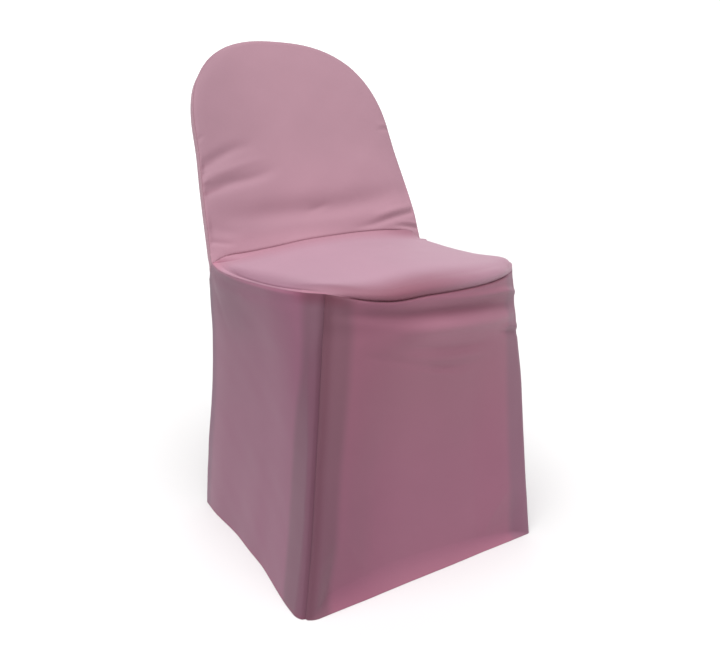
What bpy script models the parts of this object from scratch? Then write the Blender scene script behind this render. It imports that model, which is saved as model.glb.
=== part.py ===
"""A stretch chair cover: six knit panels with an arched back, a crowned seat and a full skirt.

The cover stands as it does when pulled over a chair. X runs to the right seen from the front,
Y to the rear and Z up. Heights in the tables are measured up from the hem, and the origin is
where the chair's seat carries the seat panel, under its middle.
"""

import math

import bpy
import numpy as np

COLLECTION_NAME = "stretch_chair_cover"

# Cloth and seams
CLOTH_THICKNESS = 0.0016
SEAM_HALF_GAP = 0.00017
ORIGIN_HEIGHT = 0.4999

# Backrest: an arch that leans back. Rises are measured up its slope
LEAN = math.radians(23.1)
BACK_START_HALF_WIDTH = 0.2134
BACK_START_Y = 0.1257
BACK_START_HEIGHT = 0.480
BACK_WAIST_RISE = 0.070
BACK_WAIST_HALF_WIDTH = 0.2098
SPRING_HALF_WIDTH = 0.1963
SPRING_RISE = 0.200
ARCH_RISE = 0.2015
ARCH_SQUARENESS = 2.5
ARCH_CORNER_ANGLE = math.radians(45.0)
# The back's edges stand this far in front of its middle, once they are this far up its slope
BACK_WRAP = 0.0050
FULL_WRAP_RISE = 0.070

# Cuts of each panel's grid
ACROSS = 24
SEAT_DEEP = 16
SKIRT_DROP = 20
BACK_RISE = 24
CROWDING_ACROSS = 0.55
CROWDING_DEEP = 0.50
CROWDING_DROP = 0.55
FINE_STEPS = 400
ARCH_STEPS = 24

# The seat's side seam from the back's foot forward: half width, y, height
SIDE_SEAM = (
    (0.2134, 0.1257, 0.4800),
    (0.2190, 0.0850, 0.4755),
    (0.2212, 0.0450, 0.4740),
    (0.2200, 0.0000, 0.4730),
    (0.2165, -0.0500, 0.4730),
    (0.2110, -0.0950, 0.4730),
    (0.2000, -0.1250, 0.4720),
    (0.1850, -0.1460, 0.4710),
)

# The seam under the seat's front lip, left corner to right: x, y, height
LIP_SEAM = (
    (-0.1690, -0.1580, 0.4700),
    (-0.1500, -0.1705, 0.4665),
    (-0.1200, -0.1870, 0.4600),
    (-0.0850, -0.2000, 0.4570),
    (-0.0400, -0.2080, 0.4605),
    (0.0100, -0.2105, 0.4620),
    (0.0550, -0.2065, 0.4630),
    (0.1050, -0.1925, 0.4640),
    (0.1470, -0.1735, 0.4655),
    (0.1730, -0.1570, 0.4680),
)

# The seam between seat and back: x, rise along the back, distance in front of its plane
BACK_FOOT_SEAM = (
    (-0.2134, 0.0000, 0.000),
    (-0.1900, 0.0085, 0.003),
    (-0.1500, 0.0115, 0.007),
    (-0.1000, 0.0160, 0.010),
    (-0.0450, 0.0230, 0.011),
    (0.0150, 0.0270, 0.011),
    (0.0800, 0.0300, 0.010),
    (0.1500, 0.0290, 0.008),
    (0.1920, 0.0240, 0.004),
    (0.2134, 0.0000, 0.000),
)

# The front corner seams from the hem up: height, left x, left y, right x, right y
FRONT_CORNERS = (
    (0.000, -0.2163, -0.1638, 0.2260, -0.1655),
    (0.100, -0.2055, -0.1655, 0.2140, -0.1655),
    (0.200, -0.1965, -0.1655, 0.2020, -0.1655),
    (0.300, -0.1875, -0.1650, 0.1895, -0.1650),
    (0.360, -0.1820, -0.1640, 0.1800, -0.1635),
    (0.420, -0.1760, -0.1620, 0.1740, -0.1610),
)

# The rear corner seams from the hem up: height, half width, y
REAR_CORNERS = (
    (0.000, 0.1930, 0.2570),
    (0.068, 0.1935, 0.2455),
    (0.134, 0.1930, 0.2320),
    (0.200, 0.1905, 0.2180),
    (0.270, 0.1885, 0.2030),
    (0.340, 0.1900, 0.1870),
    (0.390, 0.1945, 0.1755),
    (0.425, 0.2010, 0.1645),
    (0.455, 0.2090, 0.1485),
)

# How round the cloth turns at each front corner: height, left radius, right radius
CORNER_RADIUS = (
    (0.000, 0.028, 0.008),
    (0.080, 0.022, 0.010),
    (0.200, 0.018, 0.012),
    (0.400, 0.015, 0.012),
    (0.450, 0.007, 0.006),
    (0.470, 0.000, 0.000),
)
REAR_CORNER_RADIUS = 0.010

# How much of the seat's outward bow the skirt keeps: drop below the seam, share
FRONT_BOW_KEPT = (
    (0.000, 1.00),
    (0.017, 0.87),
    (0.032, 0.78),
    (0.050, 0.70),
    (0.090, 0.46),
    (0.160, 0.20),
    (0.250, 0.06),
    (0.350, 0.00),
    (0.480, 0.00),
)
SIDE_BOW_KEPT = (
    (0.000, 1.00),
    (0.030, 0.80),
    (0.070, 0.52),
    (0.120, 0.28),
    (0.200, 0.10),
    (0.300, 0.00),
    (0.480, 0.00),
)

# How far the cloth falls in between the legs: height, depth
FRONT_HOLLOW = (
    (0.000, 0.0100),
    (0.100, 0.0115),
    (0.200, 0.0105),
    (0.300, 0.0060),
    (0.380, 0.0015),
    (0.430, 0.0000),
    (0.480, 0.0000),
)
SIDE_HOLLOW = (
    (0.000, 0.0055),
    (0.100, 0.0070),
    (0.250, 0.0080),
    (0.380, 0.0050),
    (0.450, 0.0000),
    (0.490, 0.0000),
)
REAR_HOLLOW = (
    (0.000, 0.0020),
    (0.120, 0.0090),
    (0.260, 0.0110),
    (0.400, 0.0060),
    (0.480, 0.0000),
)
LEG_WIDTH = 0.035
LEG_TO_HOLLOW = 0.080
FOLDS_CLEAR_OF_SEAM = 0.012
FOLDS_CLEAR_OF_CORNER = 0.020

# The front hem flares forward below a crease: share of the width, height of the crease
HEM_CREASE = (
    (0.00, 0.004),
    (0.07, 0.024),
    (0.18, 0.033),
    (0.36, 0.038),
    (0.62, 0.030),
    (0.86, 0.015),
    (1.00, 0.004),
)

# Below the crease the flare starts this much softly, the rest of it straight
FLARE_SOFTNESS = 0.35
HEM_FALL = 0.0090
HEM_FALL_FADES = 0.10
CREASE_CLEAR_OF_CORNER = (0.006, 0.036)

# How far the seat's side edges stand over their seam: y, left rise, right rise
SIDE_EDGE_RISE = (
    (-0.158, 0.0080, 0.0150),
    (-0.125, 0.0065, 0.0115),
    (-0.080, 0.0050, 0.0075),
    (-0.030, 0.0045, 0.0050),
    (0.060, 0.0040, 0.0040),
    (0.100, 0.0020, 0.0020),
    (0.126, 0.0000, 0.0000),
)

# How tall the seat's front lip is: x, rise
LIP_RISE = (
    (-0.169, 0.0080),
    (-0.130, 0.0140),
    (-0.060, 0.0200),
    (0.060, 0.0200),
    (0.130, 0.0175),
    (0.173, 0.0150),
)

# An edge of the first height slopes in from its seam, one of the second rolls out over it
SLOPED_RISE = 0.0045
ROLLED_RISE = 0.0180

# The seat's outer rings: inset from the seam under a lip, inset at a side, share of the rise
SEAT_RINGS = (
    (-0.0025, 0.0033, 0.40),
    (0.0015, 0.0077, 0.78),
    (0.0120, 0.0192, 1.00),
)
SEAT_CROWN = 0.017
CROWN_FULLNESS = 0.8
# How fast the rise at the back's foot fades forward into the seat
FOOT_RISE_FADE = 3.5

# The outer rings of the backrest's front: inset from the seam, distance in front of it
INNER_BACK_RINGS = (
    (0.0055, 0.0021),
    (0.0150, 0.0030),
)

# The outer rings of the rear panel: out of and behind the rim's seam, out of and behind a
# corner seam below it
OUTER_BACK_RINGS = (
    (0.0005, 0.0068, -0.0030, 0.0020),
    (-0.0005, 0.0164, -0.0080, 0.0029),
    (-0.0050, 0.0211, -0.0180, 0.0029),
)
# Heights between which the rear corner turns into the rim, and the rim's side into the arch
CORNER_TO_RIM = (0.425, 0.490)
SIDE_TO_ARCH = (0.620, 0.670)

# How much the faces of the backrest swell, and over how many cuts from their edges
FRONT_FACE_SWELL = 0.0020
FRONT_SWELL_CUTS = 6.0
REAR_FACE_SWELL = 0.0040
REAR_SWELL_CUTS = 5.0
REAR_SWELL_STARTS = (0.450, 0.530)
REAR_HOLLOW_CUTS = 6.0
REAR_HOLLOW_ENDS = (0.480, 0.430)
REAR_ROUNDING_ENDS = (0.440, 0.390)

# Folds across the front of the back: start x, rise, end x, rise, half width, depth (ridges below zero)
BACK_FOLDS = (
    (-0.215, 0.090, 0.215, 0.094, 0.0190, 0.0080),
    (-0.190, 0.045, 0.190, 0.048, 0.0160, -0.0030),
    (-0.190, 0.172, -0.125, 0.203, 0.0090, 0.0045),
    (-0.190, 0.157, -0.100, 0.190, 0.0090, -0.0030),
    (-0.188, 0.130, -0.080, 0.158, 0.0100, 0.0050),
    (0.085, 0.040, 0.200, 0.066, 0.0100, 0.0030),
    (-0.200, 0.060, -0.150, 0.034, 0.0100, 0.0020),
)

# Folds of the front skirt: start x, height, end x, height, half width, depth (ridges below zero)
FRONT_FOLDS = (
    (-0.140, 0.444, 0.150, 0.434, 0.0090, 0.0040),
    (-0.120, 0.424, 0.150, 0.400, 0.0110, -0.0030),
    (0.110, 0.384, 0.178, 0.374, 0.0090, 0.0030),
    (-0.125, 0.383, 0.060, 0.331, 0.0110, 0.0020),
)

# Linear RGB of the knit on the seat, on the back and on the skirt
SEAT_COLOUR = (0.60, 0.35, 0.45, 1.0)
BACK_COLOUR = (0.50, 0.28, 0.35, 1.0)
SKIRT_COLOUR = (0.33, 0.16, 0.21, 1.0)
KNIT_ROUGHNESS = 0.85

# Edges of the shading that bend more than this stay sharp
SHARP_ANGLE = math.radians(40.0)

LEFT = -1.0
RIGHT = 1.0
UP = np.array([0.0, 0.0, 1.0])
BACKWARD = np.array([0.0, 1.0, 0.0])
BACK_FORWARD = np.array([0.0, -math.cos(LEAN), math.sin(LEAN)])
SEAT_MIDDLE = np.array([0.0, -0.03, 0.0])


def crowded(count, crowding):
    """Fractions from 0 to 1 that lie closer together near both ends."""
    even = np.linspace(0.0, 1.0, count + 1)
    return even - crowding * np.sin(2.0 * math.pi * even) / (2.0 * math.pi)


def smooth_at(places, keys, values):
    """Values at the places along a smooth curve through the keys."""
    keys = np.asarray(keys, float)
    values = np.asarray(values, float)
    slopes = np.gradient(values, keys, axis=0)
    places = np.clip(np.asarray(places, float), keys[0], keys[-1])
    start = np.clip(np.searchsorted(keys, places) - 1, 0, len(keys) - 2)
    step = keys[start + 1] - keys[start]
    part = (places - keys[start]) / step
    if values.ndim > 1:
        step = step[..., None]
        part = part[..., None]
    leaving = values[start] * (1 + 2 * part) * (1 - part) ** 2
    arriving = values[start + 1] * part**2 * (3 - 2 * part)
    bend = part * (1 - part) ** 2 * slopes[start] - part**2 * (1 - part) * slopes[start + 1]
    return leaving + arriving + step * bend


def column_at(places, table, column):
    """One column of a table, smooth between its rows, by the table's first column."""
    rows = np.asarray(table, float)
    return smooth_at(places, rows[:, 0], rows[:, column])


def run_lengths(points):
    """Distance along a line of points to each of them."""
    return np.concatenate([[0.0], np.cumsum(np.linalg.norm(np.diff(points, axis=0), axis=1))])


def path_through(points, fractions):
    """Points at fractions of the length of a smooth curve through the given ones."""
    points = np.asarray(points, float)
    keys = run_lengths(points)
    fine = smooth_at(np.linspace(0.0, keys[-1], FINE_STEPS), keys, points)
    run = run_lengths(fine)
    wanted = np.asarray(fractions) * run[-1]
    return np.stack([np.interp(wanted, run, fine[:, axis]) for axis in range(3)], axis=1)


def resampled(points, count):
    """The same line cut into another count of steps, keeping how they crowd."""
    wanted = np.linspace(0.0, len(points) - 1, count + 1)
    have = np.arange(len(points))
    return np.stack([np.interp(wanted, have, points[:, axis]) for axis in range(3)], axis=1)


def ramp(value, low, high):
    """A smooth rise from 0 at low to 1 at high."""
    part = np.clip((np.asarray(value, float) - low) / (high - low), 0.0, 1.0)
    return part * part * (3.0 - 2.0 * part)


def on_back(across, rise, forward):
    """A point by its place on the backrest's curved plane and its distance in front of it."""
    across, rise, forward = np.broadcast_arrays(across, rise, forward)
    wrap = BACK_WRAP * (across / SPRING_HALF_WIDTH) ** 2 * ramp(rise, 0.0, FULL_WRAP_RISE)
    forward = forward + wrap
    y = BACK_START_Y + rise * math.sin(LEAN) - forward * math.cos(LEAN)
    height = BACK_START_HEIGHT + rise * math.cos(LEAN) + forward * math.sin(LEAN)
    return np.stack([across, y, height], axis=-1)


def side_seam(side):
    """The seat's seam from the back's foot to the front corner."""
    corner = LIP_SEAM[0] if side < 0 else LIP_SEAM[-1]
    rows = [(side * half_width, y, height) for half_width, y, height in SIDE_SEAM]
    rows.append(corner)
    return path_through(rows, crowded(SEAT_DEEP, CROWDING_DEEP))


def lip_seam():
    return path_through(LIP_SEAM, crowded(ACROSS, CROWDING_ACROSS))


def back_foot_seam():
    rows = [on_back(x, rise, forward) for x, rise, forward in BACK_FOOT_SEAM]
    return path_through(rows, crowded(ACROSS, CROWDING_ACROSS))


def front_corner(side):
    """A front corner seam from the hem up to the seat."""
    x_column, y_column = (1, 2) if side < 0 else (3, 4)
    rows = [(row[x_column], row[y_column], row[0]) for row in FRONT_CORNERS]
    rows.append(LIP_SEAM[0] if side < 0 else LIP_SEAM[-1])
    return path_through(rows, crowded(SKIRT_DROP, CROWDING_DROP))


def rear_corner(side):
    """A rear corner seam from the hem up to the back's foot."""
    rows = [(side * half_width, y, height) for height, half_width, y in REAR_CORNERS]
    rows.append((side * BACK_START_HALF_WIDTH, BACK_START_Y, BACK_START_HEIGHT))
    return path_through(rows, crowded(SKIRT_DROP, CROWDING_DROP))


def arch_line(side, start_angle, end_angle):
    """Points of the arch, a squared ellipse, between two angles, as x and rise."""
    angles = np.linspace(start_angle, end_angle, ARCH_STEPS)
    power = 2.0 / ARCH_SQUARENESS
    across = np.sign(np.cos(angles)) * np.abs(np.cos(angles)) ** power
    upward = np.abs(np.sin(angles)) ** power
    return side * SPRING_HALF_WIDTH * across, SPRING_RISE + ARCH_RISE * upward


def arch_leg(side):
    """The arch seam from the back's foot up to where the arch counts as its top."""
    rise = np.linspace(0.0, SPRING_RISE, ARCH_STEPS)[:-1]
    widths = (BACK_START_HALF_WIDTH, BACK_WAIST_HALF_WIDTH, SPRING_HALF_WIDTH)
    half_width = smooth_at(rise, (0.0, BACK_WAIST_RISE, SPRING_RISE), widths)
    turn_x, turn_rise = arch_line(side, 0.0, ARCH_CORNER_ANGLE)
    x = np.concatenate([side * half_width, turn_x])
    rise = np.concatenate([rise, turn_rise])
    return path_through(on_back(x, rise, 0.0), np.linspace(0.0, 1.0, BACK_RISE + 1))


def arch_top():
    x, rise = arch_line(LEFT, ARCH_CORNER_ANGLE, math.pi - ARCH_CORNER_ANGLE)
    return path_through(on_back(x, rise, 0.0), np.linspace(0.0, 1.0, ACROSS + 1))


def blended(bottom, top, left, right):
    """A grid of points between four edges, rows running from the bottom to the top."""
    across = [run_lengths(edge) / run_lengths(edge)[-1] for edge in (bottom, top)]
    upward = [run_lengths(edge) / run_lengths(edge)[-1] for edge in (left, right)]
    u = ((across[0] + across[1]) / 2)[None, :, None]
    v = ((upward[0] + upward[1]) / 2)[:, None, None]
    ruled = (1 - v) * bottom[None] + v * top[None] + (1 - u) * left[:, None] + u * right[:, None]
    corners = (1 - u) * ((1 - v) * bottom[0] + v * top[0]) + u * ((1 - v) * bottom[-1] + v * top[-1])
    return ruled - corners


def framed(left, top, right, bottom, rings):
    """A grid whose outer rings follow the left, top and right edges around a blended middle.

    Each ring is a left, a top and a right line of its own. Where bottom is given, the rings
    are drawn to it at their feet.
    """
    rows = len(left) - 1
    columns = len(top) - 1
    grid = np.zeros((rows + 1, columns + 1, 3))
    edges = [(left, top, right)] + rings
    for ring, (ring_left, ring_top, ring_right) in enumerate(edges):
        last_row = rows - ring
        last_column = columns - ring
        for column, line in ((ring, ring_left), (last_column, ring_right)):
            line = resampled(line, last_row)
            if bottom is not None:
                fading = (1 - np.linspace(0.0, 1.0, last_row + 1)) ** 3
                line = line + fading[:, None] * (bottom[column] - line[0])
            grid[: last_row + 1, column] = line
        inner_top = resampled(ring_top, last_column - ring)
        grid[last_row, ring : last_column + 1] = inner_top
    inside = len(rings)
    last_row = rows - inside
    last_column = columns - inside
    if bottom is None:
        share = crowded(columns, CROWDING_ACROSS)[inside : last_column + 1]
        share = (share - share[0]) / (share[-1] - share[0])
        foot = grid[0, inside] + share[:, None] * (grid[0, last_column] - grid[0, inside])
    else:
        foot = bottom[inside : last_column + 1]
    grid[: last_row + 1, inside : last_column + 1] = blended(
        foot,
        grid[last_row, inside : last_column + 1],
        grid[: last_row + 1, inside],
        grid[: last_row + 1, last_column],
    )
    return grid


def outward_in_plane(line, plane_normal, away_from):
    """Unit directions square to a line within a plane, pointing away from a point."""
    along = np.gradient(line, axis=0)
    out = np.cross(along, plane_normal)
    out /= np.linalg.norm(out, axis=1)[:, None]
    facing = np.sum(out * (line - away_from), axis=1)
    return np.where(facing[:, None] < 0, -out, out)


def fold_depth(first, second, folds):
    """How deep the folds press in at places given by two coordinates. Ridges are negative."""
    depth = np.zeros_like(first)
    for x0, y0, x1, y1, half_width, deep in folds:
        length = math.hypot(x1 - x0, y1 - y0)
        along = ((first - x0) * (x1 - x0) + (second - y0) * (y1 - y0)) / length**2
        beside = ((first - x0) * (y1 - y0) - (second - y0) * (x1 - x0)) / length
        past_end = np.maximum(np.maximum(-along, along - 1.0), 0.0) * length
        depth += deep * np.exp(-(beside**2 + past_end**2) / half_width**2)
    return depth


def round_corner(distance, radius):
    """How far a rounded corner stands out past its seam, by the distance from the seam."""
    radius = np.maximum(radius, 1e-6)
    reach = radius * math.sqrt(0.5)
    inside = np.minimum(distance, reach)
    return np.sqrt(radius**2 - (reach - inside) ** 2) - reach


def cuts_from_edge(grid):
    """How many cuts each point of a grid lies in from its left, right and top edges."""
    rows, columns = grid.shape[:2]
    column = np.arange(columns)[None, :]
    row = np.arange(rows)[:, None]
    return np.minimum(np.minimum(column, columns - 1 - column), rows - 1 - row)


def seat_grid():
    """The seat panel: a lip that rolls over the front seam, lower side edges and a crown."""
    left = side_seam(LEFT)
    right = side_seam(RIGHT)
    front = lip_seam()
    edges = (
        (left, column_at(left[:, 1], SIDE_EDGE_RISE, 1)),
        (front, column_at(front[:, 0], LIP_RISE, 1)),
        (right, column_at(right[:, 1], SIDE_EDGE_RISE, 2)),
    )
    rings = []
    for lip_inset, side_inset, share_of_rise in SEAT_RINGS:
        ring = []
        for line, rise in edges:
            rolled = ramp(rise, SLOPED_RISE, ROLLED_RISE)
            inset = side_inset + (lip_inset - side_inset) * rolled
            out = outward_in_plane(line, UP, SEAT_MIDDLE)
            ring.append(line - inset[:, None] * out + (rise * share_of_rise)[:, None] * UP)
        rings.append(tuple(ring))
    grid = framed(left, front, right, back_foot_seam(), rings)
    inside = len(rings)
    field = grid[:-inside, inside:-inside]
    x, y, height = field[..., 0], field[..., 1], field[..., 2]
    u = (x - x[:, :1]) / (x[:, -1:] - x[:, :1])
    v = (y[0] - y) / (y[0] - y[-1])
    foot_rise = height[0] - (height[0, 0] * (1 - u[0]) + height[0, -1] * u[0])
    height -= foot_rise * ((1 - v) - (1 - v) ** FOOT_RISE_FADE)
    crown = 4 * u * (1 - u) * np.clip(np.sin(math.pi * v**CROWN_FULLNESS), 0, 1) ** CROWN_FULLNESS
    height += SEAT_CROWN * crown
    return grid


def inner_back_grid():
    """The front of the backrest, with its trough and creases."""
    left = arch_leg(LEFT)
    right = arch_leg(RIGHT)
    top = arch_top()
    middle = on_back(0.0, SPRING_RISE, 0.0)
    rings = []
    for inset, forward in INNER_BACK_RINGS:
        ring = []
        for line in (left, top, right):
            out = outward_in_plane(line, BACK_FORWARD, middle)
            ring.append(line - inset * out + forward * BACK_FORWARD)
        rings.append(tuple(ring))
    grid = framed(left, top, right, back_foot_seam(), rings)
    across = grid[..., 0]
    behind_start = grid[..., 1] - BACK_START_Y
    over_start = grid[..., 2] - BACK_START_HEIGHT
    rise = behind_start * math.sin(LEAN) + over_start * math.cos(LEAN)
    from_edge = cuts_from_edge(grid)
    from_foot = np.arange(len(grid))[:, None]
    free = ramp(from_edge, 0, len(rings)) * ramp(from_foot, 0, len(rings))
    swell = FRONT_FACE_SWELL * ramp(from_edge, 0, FRONT_SWELL_CUTS)
    swell = swell - fold_depth(across, rise, BACK_FOLDS)
    return grid + (free * swell)[..., None] * BACK_FORWARD


def rear_ring(line, is_arch, step):
    """A line of the rear panel beside one of its seams, by a row of OUTER_BACK_RINGS."""
    rim_out, rim_behind, corner_out, corner_behind = step
    rim = ramp(line[:, 2], *CORNER_TO_RIM)[:, None]
    out = outward_in_plane(line, BACK_FORWARD, on_back(0.0, SPRING_RISE, 0.0))
    if not is_arch:
        turned = ramp(line[:, 2], *SIDE_TO_ARCH)[:, None]
        sideways = np.zeros_like(line)
        sideways[:, 0] = np.sign(line[:, 0])
        out = sideways * (1 - turned) + out * turned
    outward = (rim * rim_out + (1 - rim) * corner_out) * out
    behind = rim * rim_behind + (1 - rim) * corner_behind
    return line + outward + behind * ((1 - rim) * BACKWARD - rim * BACK_FORWARD)


def outer_back_grid():
    """The long rear panel: round the backrest's edge, down its back and on to the rear hem."""
    left = np.concatenate([rear_corner(LEFT), arch_leg(LEFT)[1:]])
    right = np.concatenate([rear_corner(RIGHT), arch_leg(RIGHT)[1:]])
    top = arch_top()
    rings = []
    for step in OUTER_BACK_RINGS:
        sides = [rear_ring(line, False, step) for line in (left, right)]
        rings.append((sides[0], rear_ring(top, True, step), sides[1]))
    grid = framed(left, top, right, None, rings)
    height = grid[..., 2]
    from_rings = cuts_from_edge(grid) - len(rings)
    swell = ramp(from_rings, 0, REAR_SWELL_CUTS) * ramp(height, *REAR_SWELL_STARTS)
    hollow = ramp(from_rings, 0, REAR_HOLLOW_CUTS) * ramp(height, *REAR_HOLLOW_ENDS)
    grid[..., 1] += REAR_FACE_SWELL * swell - column_at(height, REAR_HOLLOW, 1) * hollow
    return grid


def bow_of(seam, along, outward):
    """How far a seam stands out of the straight line between its ends, by share of its length."""
    share = (seam[:, along] - seam[0, along]) / (seam[-1, along] - seam[0, along])
    straight = seam[0, outward] + share * (seam[-1, outward] - seam[0, outward])
    return share, seam[:, outward] - straight


def front_skirt_grid():
    """The front of the skirt: bowed out by the seat at its top, hollow between the legs."""
    left = front_corner(LEFT)
    right = front_corner(RIGHT)
    top = lip_seam()
    share = crowded(ACROSS, CROWDING_ACROSS)[:, None]
    foot = left[0] + share * (right[0] - left[0])
    grid = blended(foot, top, left, right)
    x = grid[..., 0]
    height = grid[..., 2]
    from_left = x - grid[:, :1, 0]
    from_right = grid[:, -1:, 0] - x
    from_leg = np.minimum(from_left, from_right)
    u = from_left / (from_left + from_right)
    top_share, top_bow = bow_of(top, 0, 1)
    below_seam = np.interp(u, top_share, top[:, 2]) - height
    y = left[:, 1][:, None] * (1 - u) + right[:, 1][:, None] * u
    y += np.interp(u, top_share, top_bow) * column_at(below_seam, FRONT_BOW_KEPT, 1)
    y -= round_corner(from_left, column_at(height, CORNER_RADIUS, 1))
    y -= round_corner(from_right, column_at(height, CORNER_RADIUS, 2))
    crease = column_at(u, HEM_CREASE, 1)
    flare = FLARE_SOFTNESS * ramp(height, 0, crease)
    flare += (1 - FLARE_SOFTNESS) * np.clip(height / crease, 0, 1)
    hem_fall = HEM_FALL * ramp(from_leg, *CREASE_CLEAR_OF_CORNER)
    hem_fall *= 1 - ramp(height, crease, crease + HEM_FALL_FADES)
    hollow = column_at(height, FRONT_HOLLOW, 1) * ramp(from_leg, LEG_WIDTH, LEG_WIDTH + LEG_TO_HOLLOW)
    y += np.maximum(hollow, hem_fall) * flare
    free = ramp(below_seam, 0, FOLDS_CLEAR_OF_SEAM) * ramp(from_leg, 0, FOLDS_CLEAR_OF_CORNER)
    y += fold_depth(x, height, FRONT_FOLDS) * free
    grid[:-1, 1:-1, 1] = y[:-1, 1:-1]
    return grid


def side_skirt_grid(side):
    """A side of the skirt, with its columns from the rear corner to the front one."""
    rear = rear_corner(side)
    front = front_corner(side)
    top = side_seam(side)
    share = crowded(SEAT_DEEP, CROWDING_DEEP)[:, None]
    foot = rear[0] + share * (front[0] - rear[0])
    grid = blended(foot, top, rear, front)
    y = grid[..., 1]
    height = grid[..., 2]
    from_rear = grid[:, :1, 1] - y
    from_front = y - grid[:, -1:, 1]
    from_leg = np.minimum(from_rear, from_front)
    u = from_rear / (from_rear + from_front)
    top_share, top_bow = bow_of(top, 1, 0)
    below_seam = np.interp(u, top_share, top[:, 2]) - height
    width = side * (rear[:, 0][:, None] * (1 - u) + front[:, 0][:, None] * u)
    width += side * np.interp(u, top_share, top_bow) * column_at(below_seam, SIDE_BOW_KEPT, 1)
    radius_column = 1 if side < 0 else 2
    width += round_corner(from_front, column_at(height, CORNER_RADIUS, radius_column))
    width += round_corner(from_rear, REAR_CORNER_RADIUS * ramp(height, *REAR_ROUNDING_ENDS))
    hollow = column_at(height, SIDE_HOLLOW, 1) * ramp(from_leg, LEG_WIDTH, LEG_WIDTH + LEG_TO_HOLLOW)
    width -= hollow
    grid[:-1, 1:-1, 0] = side * width[:-1, 1:-1]
    return grid


def left_skirt_grid():
    return side_skirt_grid(LEFT)


def right_skirt_grid():
    return side_skirt_grid(RIGHT)


def facing_out(grid, outward):
    """The grid with its columns reversed where needed, so that its faces point outward."""
    rows, columns = grid.shape[:2]
    row, column = rows // 2, columns // 2
    across = grid[row, column + 1] - grid[row, column]
    upward = grid[row + 1, column] - grid[row, column]
    return grid if np.dot(np.cross(across, upward), outward) > 0 else grid[:, ::-1]


def welded_surface(grids):
    """One open mesh of all the panels, sharing points along the seams, and who owns each face."""
    points = []
    number_of = {}
    faces = []
    owners = []
    for owner, grid in enumerate(grids):
        rows, columns = grid.shape[:2]
        numbers = np.zeros((rows, columns), int)
        for row in range(rows):
            for column in range(columns):
                key = tuple(np.round(grid[row, column], 6))
                if key not in number_of:
                    number_of[key] = len(points)
                    points.append(grid[row, column])
                numbers[row, column] = number_of[key]
        for row in range(rows - 1):
            for column in range(columns - 1):
                corners = (
                    numbers[row, column],
                    numbers[row, column + 1],
                    numbers[row + 1, column + 1],
                    numbers[row + 1, column],
                )
                faces.append([int(number) for number in corners])
                owners.append(owner)
    points = np.array(points) - np.array([0.0, 0.0, ORIGIN_HEIGHT])
    mesh = bpy.data.meshes.new("whole_cover")
    mesh.from_pydata([tuple(point) for point in points], [], faces)
    mesh.polygons.foreach_set("material_index", owners)
    return mesh


def thickened(surface):
    """The points and faces of both sides of the cloth, from a Solidify modifier."""
    for name in PANELS:
        surface.materials.append(bpy.data.materials[name])
    whole = bpy.data.objects.new("whole_cover", surface)
    bpy.context.scene.collection.objects.link(whole)
    solidify = whole.modifiers.new("cloth", "SOLIDIFY")
    solidify.thickness = CLOTH_THICKNESS
    solidify.offset = -1.0
    solidify.use_rim = False
    evaluated = whole.evaluated_get(bpy.context.evaluated_depsgraph_get())
    mesh = evaluated.to_mesh()
    points = np.array([vertex.co[:] for vertex in mesh.vertices], float)
    faces = [(face.material_index, tuple(face.vertices)) for face in mesh.polygons]
    evaluated.to_mesh_clear()
    bpy.data.objects.remove(whole)
    bpy.data.meshes.remove(surface)
    return points, faces


def boundary_of(faces):
    """The edges that only one face uses, in that face's direction."""
    used = {edge for face in faces for edge in zip(face, face[1:] + face[:1])}
    return [edge for edge in used if edge[::-1] not in used]


def rim_faces(start, end, half):
    """Two triangles from an outer edge to the inner one. Neighbouring panels cut them alike."""
    if start < end:
        return [(end, start, end + half), (start, start + half, end + half)]
    return [(end, start, start + half), (end, start + half, end + half)]


def levelled_hem(points):
    """The points with the inside of the hem as high as its outside."""
    half = len(points) // 2
    on_hem = np.flatnonzero(points[:half, 2] < HEM_LIMIT)
    points[on_hem + half, 2] = points[on_hem, 2]
    return points


def shared_points(faces):
    """The points that faces of more than one panel use."""
    owners = {}
    for owner, face in faces:
        for number in face:
            owners.setdefault(number, set()).add(owner)
    return {number for number, names in owners.items() if len(names) > 1}


def panel_body(name, owner, points, faces, shared, collection):
    """A closed panel: both sides of its cloth and the cut edge around them, clear of its neighbours."""
    half = len(points) // 2
    own = [face for material, face in faces if material == owner]
    outer = [face for face in own if max(face) < half]
    rim = [face for start, end in boundary_of(outer) for face in rim_faces(start, end, half)]
    middles = {}
    for face in outer:
        for number in face:
            middles.setdefault(number, []).append(points[list(face)].mean(axis=0))
    own_points = points.copy()
    for number in shared.intersection(middles):
        step = np.mean(middles[number], axis=0) - points[number]
        if points[number][2] < HEM_LIMIT:
            step[2] = 0.0
        step *= SEAM_HALF_GAP / np.linalg.norm(step)
        own_points[[number, number + half]] += step
    used = sorted({number for face in own + rim for number in face})
    new_number = {number: place for place, number in enumerate(used)}
    mesh = bpy.data.meshes.new(name)
    mesh.from_pydata(
        [tuple(own_points[number]) for number in used],
        [],
        [[new_number[number] for number in face] for face in own + rim],
    )
    mesh.shade_smooth()
    mesh.set_sharp_from_angle(angle=SHARP_ANGLE)
    mesh.materials.append(bpy.data.materials[name])
    collection.objects.link(bpy.data.objects.new(name, mesh))


def knit_material(name, colour):
    material = bpy.data.materials.new(name)
    material.use_nodes = True
    shader = material.node_tree.nodes["Principled BSDF"]
    shader.inputs["Base Color"].default_value = colour
    shader.inputs["Roughness"].default_value = KNIT_ROUGHNESS
    shader.inputs["Metallic"].default_value = 0.0
    return material


# The hem's points lie below this height, measured from the origin
HEM_LIMIT = 0.0005 - ORIGIN_HEIGHT

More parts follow.
